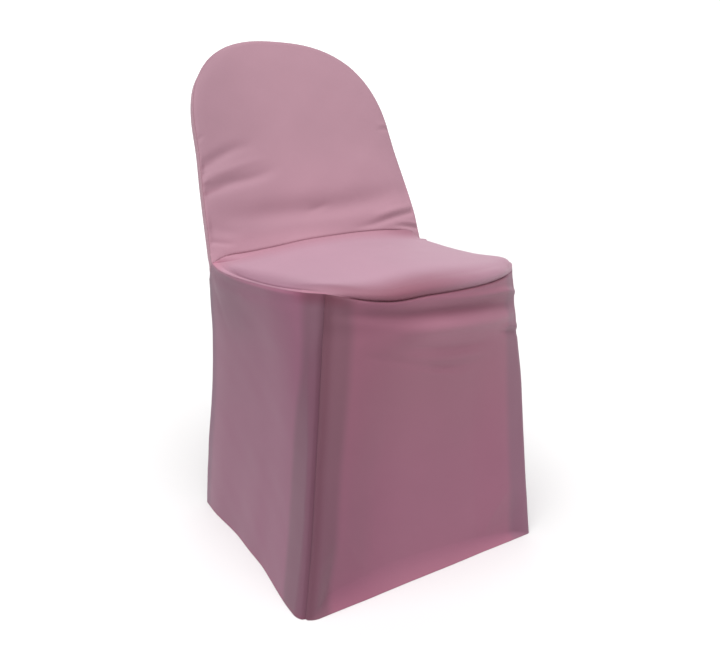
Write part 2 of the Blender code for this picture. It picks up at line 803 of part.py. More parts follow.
# Each panel: its colour, its grid of points, and the way it faces
PANELS = {
    "seat_panel": (SEAT_COLOUR, seat_grid, (0, 0, 1)),
    "inner_back": (BACK_COLOUR, inner_back_grid, (0, -1, 0)),
    "outer_back": (BACK_COLOUR, outer_back_grid, (0, 1, 0)),
    "front_skirt": (SKIRT_COLOUR, front_skirt_grid, (0, -1, 0)),
    "side_skirt_left": (SKIRT_COLOUR, left_skirt_grid, (-1, 0, 0)),
    "side_skirt_right": (SKIRT_COLOUR, right_skirt_grid, (1, 0, 0)),
}


def main():
    for old in list(bpy.data.objects):
        bpy.data.objects.remove(old)
    collection = bpy.data.collections.new(COLLECTION_NAME)
    bpy.context.scene.collection.children.link(collection)
    grids = []
    for name, (colour, make_grid, outward) in PANELS.items():
        knit_material(name, colour)
        grids.append(facing_out(make_grid(), outward))
    points, faces = thickened(welded_surface(grids))
    points = levelled_hem(points)
    shared = shared_points(faces)
    for owner, name in enumerate(PANELS):
        panel_body(name, owner, points, faces, shared, collection)


main()
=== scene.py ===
"""Looks of the stretch chair cover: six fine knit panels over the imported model, with a floor,
lights and a camera."""

import math

import bpy
import numpy as np
from mathutils import Matrix, Vector


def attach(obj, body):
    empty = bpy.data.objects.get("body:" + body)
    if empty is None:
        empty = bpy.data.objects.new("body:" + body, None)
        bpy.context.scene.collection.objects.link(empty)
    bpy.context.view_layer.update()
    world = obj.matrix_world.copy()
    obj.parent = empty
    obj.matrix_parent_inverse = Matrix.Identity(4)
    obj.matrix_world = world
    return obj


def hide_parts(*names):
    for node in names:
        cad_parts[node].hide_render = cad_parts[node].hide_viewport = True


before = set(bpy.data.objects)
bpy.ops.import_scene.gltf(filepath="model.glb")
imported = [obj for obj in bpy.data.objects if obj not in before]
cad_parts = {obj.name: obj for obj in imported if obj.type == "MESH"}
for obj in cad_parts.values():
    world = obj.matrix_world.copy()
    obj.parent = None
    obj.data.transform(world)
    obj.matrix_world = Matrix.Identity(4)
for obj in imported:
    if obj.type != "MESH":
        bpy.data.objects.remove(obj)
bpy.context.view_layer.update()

# Cloth and seams. Heights in the tables are measured up from the hem, in metres like all sizes here
CLOTH_THICKNESS = 0.0013
SEAM_HALF_GAP = 0.00011
SEAM_END_SINK = 0.0003
SINK_STARTS = (0.0, 0.12)
ROLL_STARTS = (0.02, 0.14)
ORIGIN_HEIGHT = 0.4999
MITRE_REACH = 0.002
NEIGHBOUR_REACH = 0.0015
PUCKER_HEIGHT = 0.00016
PUCKER_LENGTH = 0.0095
PUCKER_BAND = (0.0025, 0.002)
PUCKER_SWAY = 1.3
PUCKER_SWAY_RATE = 0.23
PUCKER_SWELL = 0.4
PUCKER_SWELL_RATE = 0.11
EDGE_REACH = 0.012
FOLD_CLEARANCE = 1.5
FOLD_STEPS = 8
SHARP_ANGLE = math.radians(50.0)
LEAST_LENGTH = 1e-12
LEAST_RADIUS = 1e-6

# How the cloth lies beside each kind of seam: how deep the seam sinks and over what distance, the
# roll beside it and the groove inside that (height or depth, distance from the seam, half width),
# then the painted shade along the seam, where little light gets in, and its half width
NO_ROLL = (0.0, 0.004, 0.002)
NO_GROOVE = (0.0, 0.01, 0.004)
SEAMS = {
    "lip": (0.002, 0.0024, NO_ROLL, NO_GROOVE, 0.6, 0.002),
    "side": (0.0004, 0.0014, (0.0022, 0.0066, 0.0032), (0.0026, 0.014, 0.0056), 0.85, 0.0014),
    "side_skirt": (0.0004, 0.0014, NO_ROLL, NO_GROOVE, 1.0, 0.001),
    "foot": (0.0006, 0.0014, (0.0003, 0.0035, 0.0015), NO_GROOVE, 0.86, 0.0012),
    "rim": (0.0006, 0.0014, NO_ROLL, NO_GROOVE, 0.8, 0.0009),
    "corner": (0.00015, 0.0012, NO_ROLL, NO_GROOVE, 1.0, 0.001),
}
# How the painted shade along the seams falls on red, green and blue: red darkens least
SEAM_SHADE_TINT = (0.6, 1.2, 1.05)
CORNER_EASE_REACH = 0.032
CORNER_EASE_ROUNDS = 120
# Painted shade in the groove beside the seat's side seams
GROOVE_PAINTED_SHADE = 0.05

# Backrest: a squared arch that leans back. Rises are measured up its slope
LEAN = math.radians(23.1)
BACK_START_HALF_WIDTH = 0.2134
BACK_START_Y = 0.1257
BACK_START_HEIGHT = 0.48
BACK_WAIST_RISE = 0.07
BACK_WAIST_HALF_WIDTH = 0.2098
SPRING_HALF_WIDTH = 0.1963
SPRING_RISE = 0.2
ARCH_RISE = 0.2015
ARCH_SQUARENESS = 2.5
ARCH_CORNER_ANGLE = math.radians(45.0)
SPRING_EASE = 0.03
SPRING_EASE_FADE = 1.4
SPRING_EASE_STEPS = 21
BACK_WRAP = 0.005
FULL_WRAP_RISE = 0.07

# Cuts of each panel's coarse grid, and how many times finer the cloth is
ACROSS = 24
SEAT_DEEP = 16
SKIRT_DROP = 20
BACK_RISE = 24
FINER = 6
KINK_CUTS = 3
FOOT_FADE_POWER = 3
CROWDING_ACROSS = 0.55
CROWDING_DEEP = 0.5
CROWDING_DROP = 0.55
CURVE_STEPS = 400
ARCH_STEPS = 24

# The seat's side seam from the back's foot forward: half width, y, height
SIDE_SEAM = (
    (0.2134, 0.1257, 0.48), (0.219, 0.085, 0.4755), (0.2212, 0.045, 0.474), (0.22, 0.0, 0.473),
    (0.2165, -0.05, 0.473), (0.211, -0.095, 0.473), (0.2, -0.125, 0.472), (0.185, -0.146, 0.471),
)

# The seam under the seat's front lip, left corner to right: x, y, height
LIP_SEAM = (
    (-0.169, -0.158, 0.47), (-0.15, -0.1705, 0.4665), (-0.12, -0.187, 0.46), (-0.085, -0.2, 0.457),
    (-0.04, -0.208, 0.4605), (0.01, -0.2105, 0.462), (0.055, -0.2065, 0.463),
    (0.105, -0.1925, 0.464), (0.147, -0.1735, 0.4655), (0.173, -0.157, 0.468),
)

# The seam between seat and back: x, rise along the back, distance in front of its plane
BACK_FOOT_SEAM = (
    (-0.2134, 0.0, 0.0), (-0.19, 0.0085, 0.003), (-0.15, 0.0115, 0.007), (-0.1, 0.016, 0.01),
    (-0.045, 0.023, 0.011), (0.015, 0.027, 0.011), (0.08, 0.03, 0.01), (0.15, 0.029, 0.008),
    (0.192, 0.024, 0.004), (0.2134, 0.0, 0.0),
)

# The front corner seams from the hem up: height, left x, left y, right x, right y
FRONT_CORNERS = (
    (0.0, -0.2163, -0.1638, 0.226, -0.1655), (0.1, -0.2055, -0.1655, 0.214, -0.1655),
    (0.2, -0.1965, -0.1655, 0.202, -0.1655), (0.3, -0.1875, -0.165, 0.1895, -0.165),
    (0.36, -0.182, -0.164, 0.18, -0.1635), (0.42, -0.176, -0.162, 0.174, -0.161),
)

# The rear corner seams from the hem up: height, half width, y
REAR_CORNERS = (
    (0.0, 0.193, 0.257), (0.068, 0.1935, 0.2455), (0.134, 0.193, 0.232), (0.2, 0.1905, 0.218),
    (0.27, 0.1885, 0.203), (0.34, 0.19, 0.187), (0.39, 0.1945, 0.1755), (0.425, 0.201, 0.1645),
    (0.455, 0.209, 0.1485),
)

# How round the cloth turns at each front corner: height, left radius, right radius
CORNER_RADIUS = (
    (0.0, 0.028, 0.008), (0.08, 0.022, 0.01), (0.2, 0.018, 0.012), (0.4, 0.015, 0.012),
    (0.45, 0.007, 0.006), (0.47, 0.0, 0.0),
)
REAR_CORNER_RADIUS = 0.01

# How much of the seat's outward bow the skirt keeps: drop below the seam, share
FRONT_BOW_KEPT = (
    (0.0, 1.0), (0.017, 0.87), (0.032, 0.78), (0.05, 0.7), (0.09, 0.46), (0.16, 0.2), (0.25, 0.06),
    (0.35, 0.0), (0.48, 0.0),
)
SIDE_BOW_KEPT = (
    (0.0, 1.0), (0.03, 0.8), (0.07, 0.52), (0.12, 0.28), (0.2, 0.1), (0.3, 0.0), (0.48, 0.0),
)

# How far the cloth falls in between the legs: height, depth
FRONT_HOLLOW = (
    (0.0, 0.01), (0.1, 0.0115), (0.2, 0.0105), (0.3, 0.006), (0.38, 0.0015), (0.43, 0.0),
    (0.48, 0.0),
)
SIDE_HOLLOW = (
    (0.0, 0.0078), (0.1, 0.007), (0.25, 0.006), (0.38, 0.004), (0.45, 0.0), (0.49, 0.0),
)
REAR_HOLLOW = (
    (0.0, 0.002), (0.12, 0.009), (0.26, 0.011), (0.4, 0.006), (0.48, 0.0),
)
LEG_WIDTH = 0.035
LEG_TO_HOLLOW = 0.08
SIDE_LEG_TO_HOLLOW = 0.13

# The front hem flares forward below a crease: share of the width, height of the crease
HEM_CREASE = (
    (0.0, 0.004), (0.07, 0.024), (0.18, 0.033), (0.36, 0.038), (0.62, 0.03), (0.86, 0.015),
    (1.0, 0.004),
)
FLARE_CURL = 0.5
HEM_FALL = 0.009
HEM_FALL_FADES = 0.1
CREASE_CLEAR_OF_CORNER = (0.006, 0.036)

# How far the seat's side edges stand over their seam: y, left rise, right rise
SIDE_EDGE_RISE = (
    (-0.158, 0.008, 0.015), (-0.125, 0.0065, 0.0115), (-0.08, 0.005, 0.0075),
    (-0.03, 0.0045, 0.005), (0.06, 0.004, 0.004), (0.1, 0.002, 0.002), (0.126, 0.0, 0.0),
)

# How tall the seat's front lip is: x, rise
LIP_RISE = (
    (-0.169, 0.008), (-0.13, 0.014), (-0.06, 0.02), (0.06, 0.02), (0.13, 0.0175), (0.173, 0.015),
)
SLOPED_RISE = 0.0045
ROLLED_RISE = 0.018

# The seat's outer rings: inset from the seam under the lip, inset at a side, share of the rise
SEAT_RINGS = (
    (-0.0025, 0.0033, 0.4), (0.0015, 0.0077, 0.78), (0.012, 0.0192, 1.0),
)
SEAT_CROWN = 0.017
CROWN_FULLNESS = 0.8
FOOT_RISE_FADE = 3.5

# The outer rings of the backrest's front: inset from the seam, distance in front of it
INNER_BACK_RINGS = (
    (0.0055, 0.0021), (0.015, 0.003),
)

# The outer rings of the rear panel: out of and behind the rim's seam, out of and behind a
# corner seam below it
OUTER_BACK_RINGS = (
    (0.0005, 0.0068, -0.003, 0.002), (-0.0005, 0.0164, -0.008, 0.0029),
    (-0.005, 0.0211, -0.018, 0.0029),
)
CORNER_TO_RIM = (0.425, 0.49)
SIDE_TO_ARCH = (0.62, 0.67)
FRONT_FACE_SWELL = 0.002
FRONT_SWELL_CUTS = 6.0
REAR_FACE_SWELL = 0.004
REAR_SWELL_CUTS = 5.0
REAR_SWELL_STARTS = (0.45, 0.53)
REAR_HOLLOW_CUTS = 6.0
REAR_HOLLOW_ENDS = (0.48, 0.43)
REAR_ROUNDING_ENDS = (0.44, 0.39)

# Folds: half width, then points of the fold as x, rise and lift. A lift below zero is a trough
BACK_FOLDS = (
    # The broad trough over the seat
    (0.0225, ((-0.216, 0.066, -0.0014), (-0.16, 0.07, -0.004), (-0.11, 0.072, -0.0062),
        (0.0, 0.076, -0.0074), (0.09, 0.085, -0.0066), (0.16, 0.095, -0.0046),
        (0.214, 0.1, -0.0014))),
    # Two creases that run in from the left rim, and the ridge between them
    (0.0105, ((-0.206, 0.158, -0.003), (-0.172, 0.174, -0.0042), (-0.135, 0.19, -0.0026),
        (-0.095, 0.198, 0.0))),
    (0.008, ((-0.203, 0.138, 0.001), (-0.165, 0.15, 0.002), (-0.12, 0.163, 0.0014),
        (-0.08, 0.172, 0.0))),
    (0.0095, ((-0.204, 0.117, -0.0028), (-0.16, 0.129, -0.004), (-0.108, 0.139, -0.0026),
        (-0.062, 0.154, 0.0))),
    # A crease low on the right and the pinch at the seat's right corner
    (0.0062, ((0.06, 0.036, 0.0), (0.11, 0.043, -0.0022), (0.15, 0.052, -0.0034),
        (0.2, 0.061, -0.003))),
    (0.006, ((0.1, 0.055, 0.0), (0.15, 0.065, 0.0014), (0.2, 0.074, 0.001))),
    (0.004, ((0.15, 0.036, 0.0), (0.18, 0.035, -0.0022), (0.211, 0.031, -0.0026))),
    (0.0035, ((0.16, 0.044, 0.0), (0.185, 0.043, 0.001), (0.208, 0.04, 0.001))),
    # Small creases low on the left and along both rims
    (0.004, ((-0.207, 0.034, -0.0014), (-0.188, 0.03, -0.0012), (-0.165, 0.026, 0.0))),
    (0.009, ((-0.205, 0.058, -0.0012), (-0.18, 0.048, -0.0012), (-0.15, 0.042, 0.0))),
    (0.0032, ((-0.206, 0.146, -0.0018), (-0.195, 0.149, -0.0012), (-0.184, 0.151, 0.0))),
    (0.0032, ((-0.206, 0.133, 0.0012), (-0.195, 0.136, 0.0008), (-0.184, 0.138, 0.0))),
    (0.0032, ((-0.206, 0.166, -0.0012), (-0.194, 0.17, 0.0))),
    (0.0036, ((-0.204, 0.205, -0.0014), (-0.194, 0.21, -0.001), (-0.18, 0.218, 0.0))),
    (0.0036, ((-0.203, 0.218, 0.0008), (-0.188, 0.226, 0.0))),
    (0.0042, ((0.198, 0.228, -0.001), (0.184, 0.23, -0.0014), (0.16, 0.226, 0.0))),
    (0.0042, ((0.198, 0.24, 0.0006), (0.18, 0.24, 0.0008), (0.165, 0.238, 0.0))),
    (0.006, ((-0.032, 0.072, 0.0), (0.0, 0.08, -0.0012), (0.03, 0.088, 0.0))),
    (0.03, ((0.05, 0.15, 0.0), (0.11, 0.155, 0.0012), (0.17, 0.16, 0.0))),
)

# Folds of the seat: half width, then x, y and lift
SEAT_FOLDS = (
    # The tucked loop at the left end of the back's seam
    (0.005, ((-0.207, 0.124, 0.0008), (-0.199, 0.1195, 0.0026), (-0.188, 0.1145, 0.004),
        (-0.172, 0.1105, 0.0034), (-0.15, 0.11, 0.0012), (-0.13, 0.111, 0.0))),
    (0.0036, ((-0.2085, 0.1215, -0.0012), (-0.2018, 0.1149, -0.003), (-0.194, 0.1085, -0.0034),
        (-0.184, 0.1035, -0.0026), (-0.172, 0.099, -0.0008), (-0.16, 0.0965, 0.0))),
    # Pinches at the right end of it
    (0.004, ((0.205, 0.122, -0.0044), (0.195, 0.106, -0.0034), (0.178, 0.088, 0.0))),
    (0.0036, ((0.206, 0.109, 0.0014), (0.198, 0.094, 0.0018), (0.186, 0.08, 0.0))),
    (0.0034, ((0.208, 0.099, -0.002), (0.2, 0.085, -0.0016), (0.19, 0.074, 0.0))),
)

# Folds of the front skirt: half width, then x, height and lift
FRONT_FOLDS = (
    # The deep drag that runs across under the seat's lip and the bulge over its right half
    (0.0094, ((-0.16, 0.443, -0.0014), (-0.11, 0.437, -0.005), (-0.04, 0.433, -0.0078),
        (0.03, 0.432, -0.008), (0.09, 0.429, -0.007), (0.14, 0.422, -0.005),
        (0.172, 0.417, -0.002))),
    (0.0052, ((-0.02, 0.453, 0.0006), (0.04, 0.45, 0.0026), (0.09, 0.448, 0.0042),
        (0.135, 0.444, 0.006), (0.168, 0.436, 0.0022))),
    (0.011, ((-0.09, 0.414, 0.0006), (-0.045, 0.412, 0.004), (0.01, 0.41, 0.006),
        (0.08, 0.406, 0.0056), (0.135, 0.403, 0.004), (0.165, 0.402, 0.0008))),
    (0.007, ((-0.1, 0.386, 0.0), (-0.05, 0.381, -0.0016), (0.01, 0.376, -0.0024),
        (0.06, 0.372, -0.0024), (0.11, 0.369, 0.0))),
    (0.006, ((-0.06, 0.362, 0.0), (0.0, 0.36, 0.0014), (0.06, 0.355, 0.0016), (0.11, 0.35, 0.0))),
    (0.005, ((-0.03, 0.346, 0.0), (0.02, 0.344, -0.0014), (0.06, 0.34, -0.0014),
        (0.1, 0.336, 0.0))),
    # A pair of creases at the right corner
    (0.0034, ((0.12, 0.391, 0.0), (0.15, 0.387, 0.0032), (0.174, 0.381, 0.0014))),
    (0.0044, ((0.11, 0.383, 0.0), (0.145, 0.377, -0.0028), (0.176, 0.37, -0.0026))),
    # Faint drags that run down to the right
    (0.006, ((-0.135, 0.386, 0.0), (-0.09, 0.374, -0.0016), (-0.03, 0.357, -0.002),
        (0.03, 0.339, -0.0014), (0.065, 0.328, 0.0))),
    (0.0055, ((-0.075, 0.391, 0.0), (-0.03, 0.385, -0.0014), (0.02, 0.376, 0.0))),
    (0.0045, ((-0.06, 0.354, 0.0), (0.0, 0.338, 0.001), (0.05, 0.324, 0.0))),
)

# Folds of the sides, alike on both: half width, then y, height and lift
SIDE_FOLDS = (
    (0.008, ((0.1, 0.462, -0.0006), (0.03, 0.458, -0.001), (-0.05, 0.456, -0.001),
        (-0.12, 0.455, -0.0004))),
    (0.011, ((0.125, 0.44, -0.0004), (0.11, 0.405, -0.0005), (0.095, 0.36, 0.0))),
)

# Folds of the rear panel: half width, then x, height and lift
REAR_FOLDS = (
    (0.015, ((-0.17, 0.462, -0.0012), (-0.05, 0.452, -0.003), (0.06, 0.453, -0.003),
        (0.17, 0.464, -0.0012))),
    (0.01, ((-0.175, 0.512, -0.0016), (-0.12, 0.524, -0.0018), (-0.06, 0.53, 0.0))),
    (0.01, ((0.175, 0.516, -0.0016), (0.13, 0.531, -0.0016), (0.07, 0.54, 0.0))),
    (0.009, ((-0.16, 0.425, 0.0), (-0.09, 0.418, -0.0012), (-0.02, 0.408, 0.0))),
    (0.009, ((0.17, 0.422, 0.0), (0.1, 0.41, -0.0012), (0.03, 0.396, 0.0))),
)

# Painted shade in creases, where the cloth touches itself and little light reaches, in the same form
# as the folds, with how dark in place of the lift
SEAT_CREASES = (
    (0.0026, ((-0.2115, 0.125, 0.5), (-0.2018, 0.1149, 1.0), (-0.194, 0.1085, 0.9),
        (-0.184, 0.1035, 0.6), (-0.172, 0.099, 0.0))),
)
FRONT_CREASES = (
    (0.008, ((-0.13, 0.441, 0.0), (-0.06, 0.435, 0.42), (0.03, 0.432, 0.58), (0.09, 0.429, 0.5),
        (0.14, 0.422, 0.26), (0.172, 0.417, 0.0))),
    (0.0036, ((0.115, 0.383, 0.0), (0.148, 0.378, 0.22), (0.176, 0.371, 0.1))),
    (0.004, ((-0.05, 0.379, 0.0), (0.01, 0.376, 0.14), (0.06, 0.372, 0.14), (0.11, 0.368, 0.0))),
)
BACK_CREASES = (
    (0.0036, ((-0.203, 0.115, 0.5), (-0.188, 0.12, 0.4), (-0.16, 0.129, 0.0))),
    (0.0036, ((-0.203, 0.158, 0.4), (-0.19, 0.165, 0.3), (-0.17, 0.174, 0.0))),
    (0.0026, ((-0.204, 0.145, 0.4), (-0.193, 0.148, 0.0))),
    (0.0026, ((-0.204, 0.129, 0.4), (-0.192, 0.133, 0.0))),
)
CREASE_PAINTED_SHADE = (0.72, 0.57, 0.63)

# Broad unevenness of the cloth: its height, how each wave is turned from the last and how much
# longer it is crosswise, and the lengths of the three waves
WAVE_HEIGHT = 0.00035
WAVE_TURN = 1.9
WAVE_STRETCH = 1.7
WAVE_LENGTHS = (0.15, 0.088, 0.057)

# Where the legs show through: height, inner edge of the left band, of the right one
FRONT_LEG_EDGES = (
    (0.0, -0.18, 0.186), (0.08, -0.17, 0.176), (0.172, -0.1625, 0.1655), (0.217, -0.159, 0.16),
    (0.32, -0.149, 0.148), (0.378, -0.145, 0.143), (0.47, -0.138, 0.14),
)
# The same on the sides: height, rear edge of the front leg's band, front edge of the rear one
SIDE_LEG_EDGES = (
    (0.0, -0.108, 0.233), (0.06, -0.108, 0.222), (0.157, -0.11, 0.202), (0.272, -0.119, 0.18),
    (0.383, -0.141, 0.156), (0.48, -0.138, 0.13),
)
LEG_EDGE_SOFTNESS = 0.0085
REAR_LEG_BAND = 0.03

# How deep the painted shade on the seat's front lip is: x, share
LIP_DEPTH = (
    (-0.17, 0.8), (-0.13, 1.1), (-0.08, 1.3), (-0.03, 1.12), (0.03, 0.7), (0.09, 0.36),
    (0.175, 0.35),
)

# Linear colours of the knit: over the chair's shell for the seat and back, over the dark space
# inside for the others
SEAT_COLOUR = (0.385, 0.219, 0.285)
BACK_COLOUR = (0.35, 0.193, 0.241)
SIDE_COLOUR = (0.213, 0.083, 0.134)
FRONT_COLOUR = (0.262, 0.103, 0.15)
REAR_COLOUR = (0.24, 0.108, 0.152)

# Shades that the colours are multiplied by, each with the places between which it comes or goes.
# A roll or bulge has its place and half width instead, and SEAT_HOLLOW_FADE is in shares of reach.
# Seat: painted shade on its lip, at its rear, at its right rear corner and in the hollow at its left
# edge, then a painted highlight on the roll there
LIP_PAINTED_SHADE = (0.65, 0.49, 0.52)
LIP_FADE = (0.01, 0.08)
# Painted shade at the seat's rear, beside the backrest
SEAT_REAR_PAINTED_SHADE = (0.93, 0.77, 0.79)
SEAT_REAR = (0.0, 0.08)
# Painted shadow of the backrest's right corner on the seat
SEAT_CORNER_PAINTED_SHADOW = (0.78, 0.68, 0.72)
SEAT_CORNER = (0.01, 0.07)
SEAT_CORNER_STARTS = (0.08, 0.18)
# Painted shade in the hollow along the seat's left edge, where the cushion turns down
SEAT_EDGE_PAINTED_SHADE = (0.72, 0.62, 0.67)
SEAT_HOLLOW_STARTS = (0.006, 0.012)
SEAT_HOLLOW_FADE = (0.4, 1.0)
SEAT_HOLLOW_REAR = (0.02, 0.11)
SEAT_HOLLOW_FRONT = (0.01, 0.06)
# Painted highlight on the roll of the seat's side seam
SEAT_EDGE_ROLL_PAINTED_LIGHT = (1.16, 1.04, 1.08)
SEAT_EDGE_ROLL = (0.004, 0.005)
# How far the painted shade of that hollow reaches in, by y
SEAT_EDGE_HOLLOW = ((-0.2, 0.088), (-0.05, 0.088), (0.01, 0.06), (0.06, 0.036), (0.13, 0.018))
# Backrest: painted light on its lower part, its left part, and painted light at the left of its foot
BACK_LOW_PAINTED_LIGHT = (1.12, 1.1, 1.11)
BACK_LOW = (0.03, 0.24)
BACK_LEFT_SHADE = (0.86, 0.85, 0.86)
BACK_LEFT = (-0.2, -0.02)
# Painted light at the left of the backrest's foot, where the cloth faces up
BACK_FOOT_PAINTED_LIGHT = (1.19, 1.21, 1.2)
BACK_FOOT = (0.025, 0.055)
BACK_FOOT_ENDS = (-0.04, 0.08)
# Legs and corner seams
LEG_SHADE = (0.64, 0.67, 0.66)
FAR_LEG_SHADE = (0.8, 0.93, 0.91)
SIDE_LEG_SHADE = (0.71, 0.82, 0.74)
CORNER_SHADE = (0.76, 0.66, 0.7)
FRONT_CORNER_LINE = 0.0066
FRONT_CORNER_OFFSET = 0.003
SIDE_CORNER_LINE = 0.003
# Painted shade at the top of each front corner, under the seat's edge
CORNER_TOP_PAINTED_SHADE = (0.82, 0.52, 0.62)
CORNER_TOP_FADE = (0.004, 0.022)
CORNER_SIDE_FADE = (0.008, 0.045)
# Front: painted shadow beside the near leg, the lower part, painted shade under the lip, painted light
# on the bulge there and on the hem
# Painted shadow of the near leg on the front
BESIDE_LEG_PAINTED_SHADOW = (0.87, 0.81, 0.85)
BESIDE_LEG = (-0.15, -0.03)
FRONT_LOW_SHADE = (0.93, 0.87, 0.94)
FRONT_LOW = (0.12, 0.36)
# Painted shade under the seat's lip
UNDER_LIP_PAINTED_SHADE = (0.84, 0.8, 0.82)
UNDER_LIP = (0.405, 0.43)
UNDER_LIP_ENDS = (-0.12, -0.03)
# Painted light on the bulge below the lip, where it faces up
BULGE_PAINTED_LIGHT = (1.19, 1.29, 1.24)
BULGE = (0.404, 0.028)
BULGE_STARTS = (-0.08, 0.0)
# Painted light on the hem, which flares up and faces the floor
HEM_PAINTED_LIGHT = (1.18, 1.22, 1.16)
HEM_LINE_HEIGHT = 0.01
# Sides: the lower front part, the upper rear part, painted light on the roll of the seat's seam, and
# the hem
SIDE_FRONT_SHADE = (0.97, 0.83, 0.92)
SIDE_FRONT = (-0.06, 0.1)
SIDE_FRONT_TOP = (0.34, 0.44)
SIDE_TOP_SHADE = (0.81, 0.78, 0.81)
SIDE_TOP = (0.34, 0.43)
SIDE_TOP_STARTS = (-0.04, 0.05)
SIDE_SEAM_ROLL_PAINTED_LIGHT = (1.5, 1.4, 1.4)
SIDE_SEAM_ROLL = (0.002, 0.007)
SIDE_ROLL_STARTS = (0.005, 0.06)
SIDE_HEM_SHADE = (1.1, 0.92, 0.97)
# Heights between which the rear panel's dark space gives way to the backrest
REAR_SHELL = (0.44, 0.48)

# The knit's stitches, in metres, how they stand out, and how its brightness varies
WALE = 0.001
COURSE = 0.0008
STITCH_SLANT = 1.2
STITCH_HEIGHT = 0.25
WALE_HEIGHT = 0.6
BUMP_STRENGTH = 0.22
BUMP_DEPTH = 0.00025
MOTTLE_NOISE = (14.0, 3.0)
MOTTLE = 0.07
YARN_NOISE = (900.0, 2.0)
YARN = 0.08
WALE_SHADE = 0.05
DARKEST = 0.89
KNIT_FINISH = {
    "Roughness": 0.64,
    "Metallic": 0.0,
    "Specular IOR Level": 0.34,
    "Sheen Weight": 0.2,
    "Sheen Roughness": 0.45,
    "Sheen Tint": (1.0, 0.88, 0.93, 1.0),
}

# Lights: where the key comes from, how bright and how soft it is, and the sky around
KEY_FROM = (-0.32, -0.4, 1.0)
KEY_POWER = 3.8
KEY_WIDTH = math.radians(60.0)
KEY_COLOUR = (1.0, 0.99, 0.99)
SKY_BRIGHTNESS = 0.4
BACKDROP_BRIGHTNESS = 1.25
BACKDROP_EDGE = (0.7, 0.85)
FLOOR_FINISH = {
    "Base Color": (0.72, 0.72, 0.72, 1.0),
    "Roughness": 0.9,
    "Specular IOR Level": 0.1,
}
FLOOR_HALF = 3.5
FLOOR_DROP = 0.0005

# Camera
CAMERA_PLACE = (-0.6242, -0.9434, 0.6475)
CAMERA_YAW = math.radians(32.9905)
CAMERA_DOWN = math.radians(14.054)
CAMERA_ROLL = math.radians(-0.5576)
CAMERA_LENS = 35.0
CAMERA_SENSOR = 36.0

# Sides and directions
LEFT = -1.0
RIGHT = 1.0
UP = np.array([0.0, 0.0, 1.0])
RIGHTWARD = np.array([1.0, 0.0, 0.0])
BACKWARD = np.array([0.0, 1.0, 0.0])
BACK_FORWARD = np.array([0.0, -math.cos(LEAN), math.sin(LEAN)])
SEAT_MIDDLE = np.array([0.0, -0.03, 0.0])

# Which rows or columns of a grid are its edges
EDGES = {"bottom": np.s_[0], "top": np.s_[-1], "left": np.s_[:, 0], "right": np.s_[:, -1]}


def crowded(count, crowding):
    """Fractions from 0 to 1 that lie closer together near both ends."""
    even = np.linspace(0.0, 1.0, count + 1)
    return even - crowding * np.sin(2.0 * math.pi * even) / (2.0 * math.pi)


def smooth_at(places, keys, values):
    """Values at the places along a smooth curve through the keys."""
    keys = np.asarray(keys, float)
    values = np.asarray(values, float)
    slopes = np.gradient(values, keys, axis=0)
    places = np.clip(np.asarray(places, float), keys[0], keys[-1])
    start = np.clip(np.searchsorted(keys, places) - 1, 0, len(keys) - 2)
    step = keys[start + 1] - keys[start]
    part = (places - keys[start]) / step
    extra = (1,) * (values.ndim - 1)
    step = step.reshape(step.shape + extra)
    part = part.reshape(part.shape + extra)
    leaving = values[start] * (1 + 2 * part) * (1 - part) ** 2
    arriving = values[start + 1] * part**2 * (3 - 2 * part)
    bend = part * (1 - part) ** 2 * slopes[start] - part**2 * (1 - part) * slopes[start + 1]
    return leaving + arriving + step * bend


def column_at(places, table, column):
    """One column of a table, smooth between its rows, by the table's first column."""
    rows = np.asarray(table, float)
    return smooth_at(places, rows[:, 0], rows[:, column])


def run_lengths(points):
    """Distance along a line of points to each of them."""
    return np.concatenate([[0.0], np.cumsum(np.linalg.norm(np.diff(points, axis=0), axis=1))])


def interpolated(places, keys, points):
    """Points at the places along a line whose own points lie at the keys."""
    return np.stack([np.interp(places, keys, points[:, axis]) for axis in range(3)], axis=1)


def path_through(points, fractions):
    """Points at fractions of the length of a smooth curve through the given ones."""
    points = np.asarray(points, float)
    keys = run_lengths(points)
    fine = smooth_at(np.linspace(0.0, keys[-1], CURVE_STEPS), keys, points)
    run = run_lengths(fine)
    return interpolated(np.asarray(fractions) * run[-1], run, fine)


def resampled(points, count):
    """The same line cut into another count of steps, keeping how they crowd."""
    wanted = np.linspace(0.0, len(points) - 1, count + 1)
    return interpolated(wanted, np.arange(len(points)), points)


def ramp(value, low, high):
    """A smooth rise from 0 at low to 1 at high."""
    part = np.clip((np.asarray(value, float) - low) / (high - low), 0.0, 1.0)
    return part * part * (3.0 - 2.0 * part)


def bump_at(distance, place, half_width):
    """A soft bump of height 1 at a distance from a seam."""
    return np.exp(-(((distance - place) / half_width) ** 2))


def on_back(across, rise, forward):
    """A point by its place on the backrest's curved plane and its distance in front of it."""
    across, rise, forward = np.broadcast_arrays(across, rise, forward)
    wrap = BACK_WRAP * (across / SPRING_HALF_WIDTH) ** 2 * ramp(rise, 0.0, FULL_WRAP_RISE)
    forward = forward + wrap
    y = BACK_START_Y + rise * math.sin(LEAN) - forward * math.cos(LEAN)
    height = BACK_START_HEIGHT + rise * math.cos(LEAN) + forward * math.sin(LEAN)
    return np.stack([across, y, height], axis=-1)


def lip_corner(side):
    """The end of the lip's seam on one side."""
    return LIP_SEAM[0] if side < 0 else LIP_SEAM[-1]


def side_seam(side, finer=1):
    """The seat's seam from the back's foot to the front corner."""
    rows = [(side * half_width, y, height) for half_width, y, height in SIDE_SEAM]
    rows.append(lip_corner(side))
    return path_through(rows, crowded(SEAT_DEEP * finer, CROWDING_DEEP))


def lip_seam(finer=1):
    """The seam under the seat's lip."""
    return path_through(LIP_SEAM, crowded(ACROSS * finer, CROWDING_ACROSS))


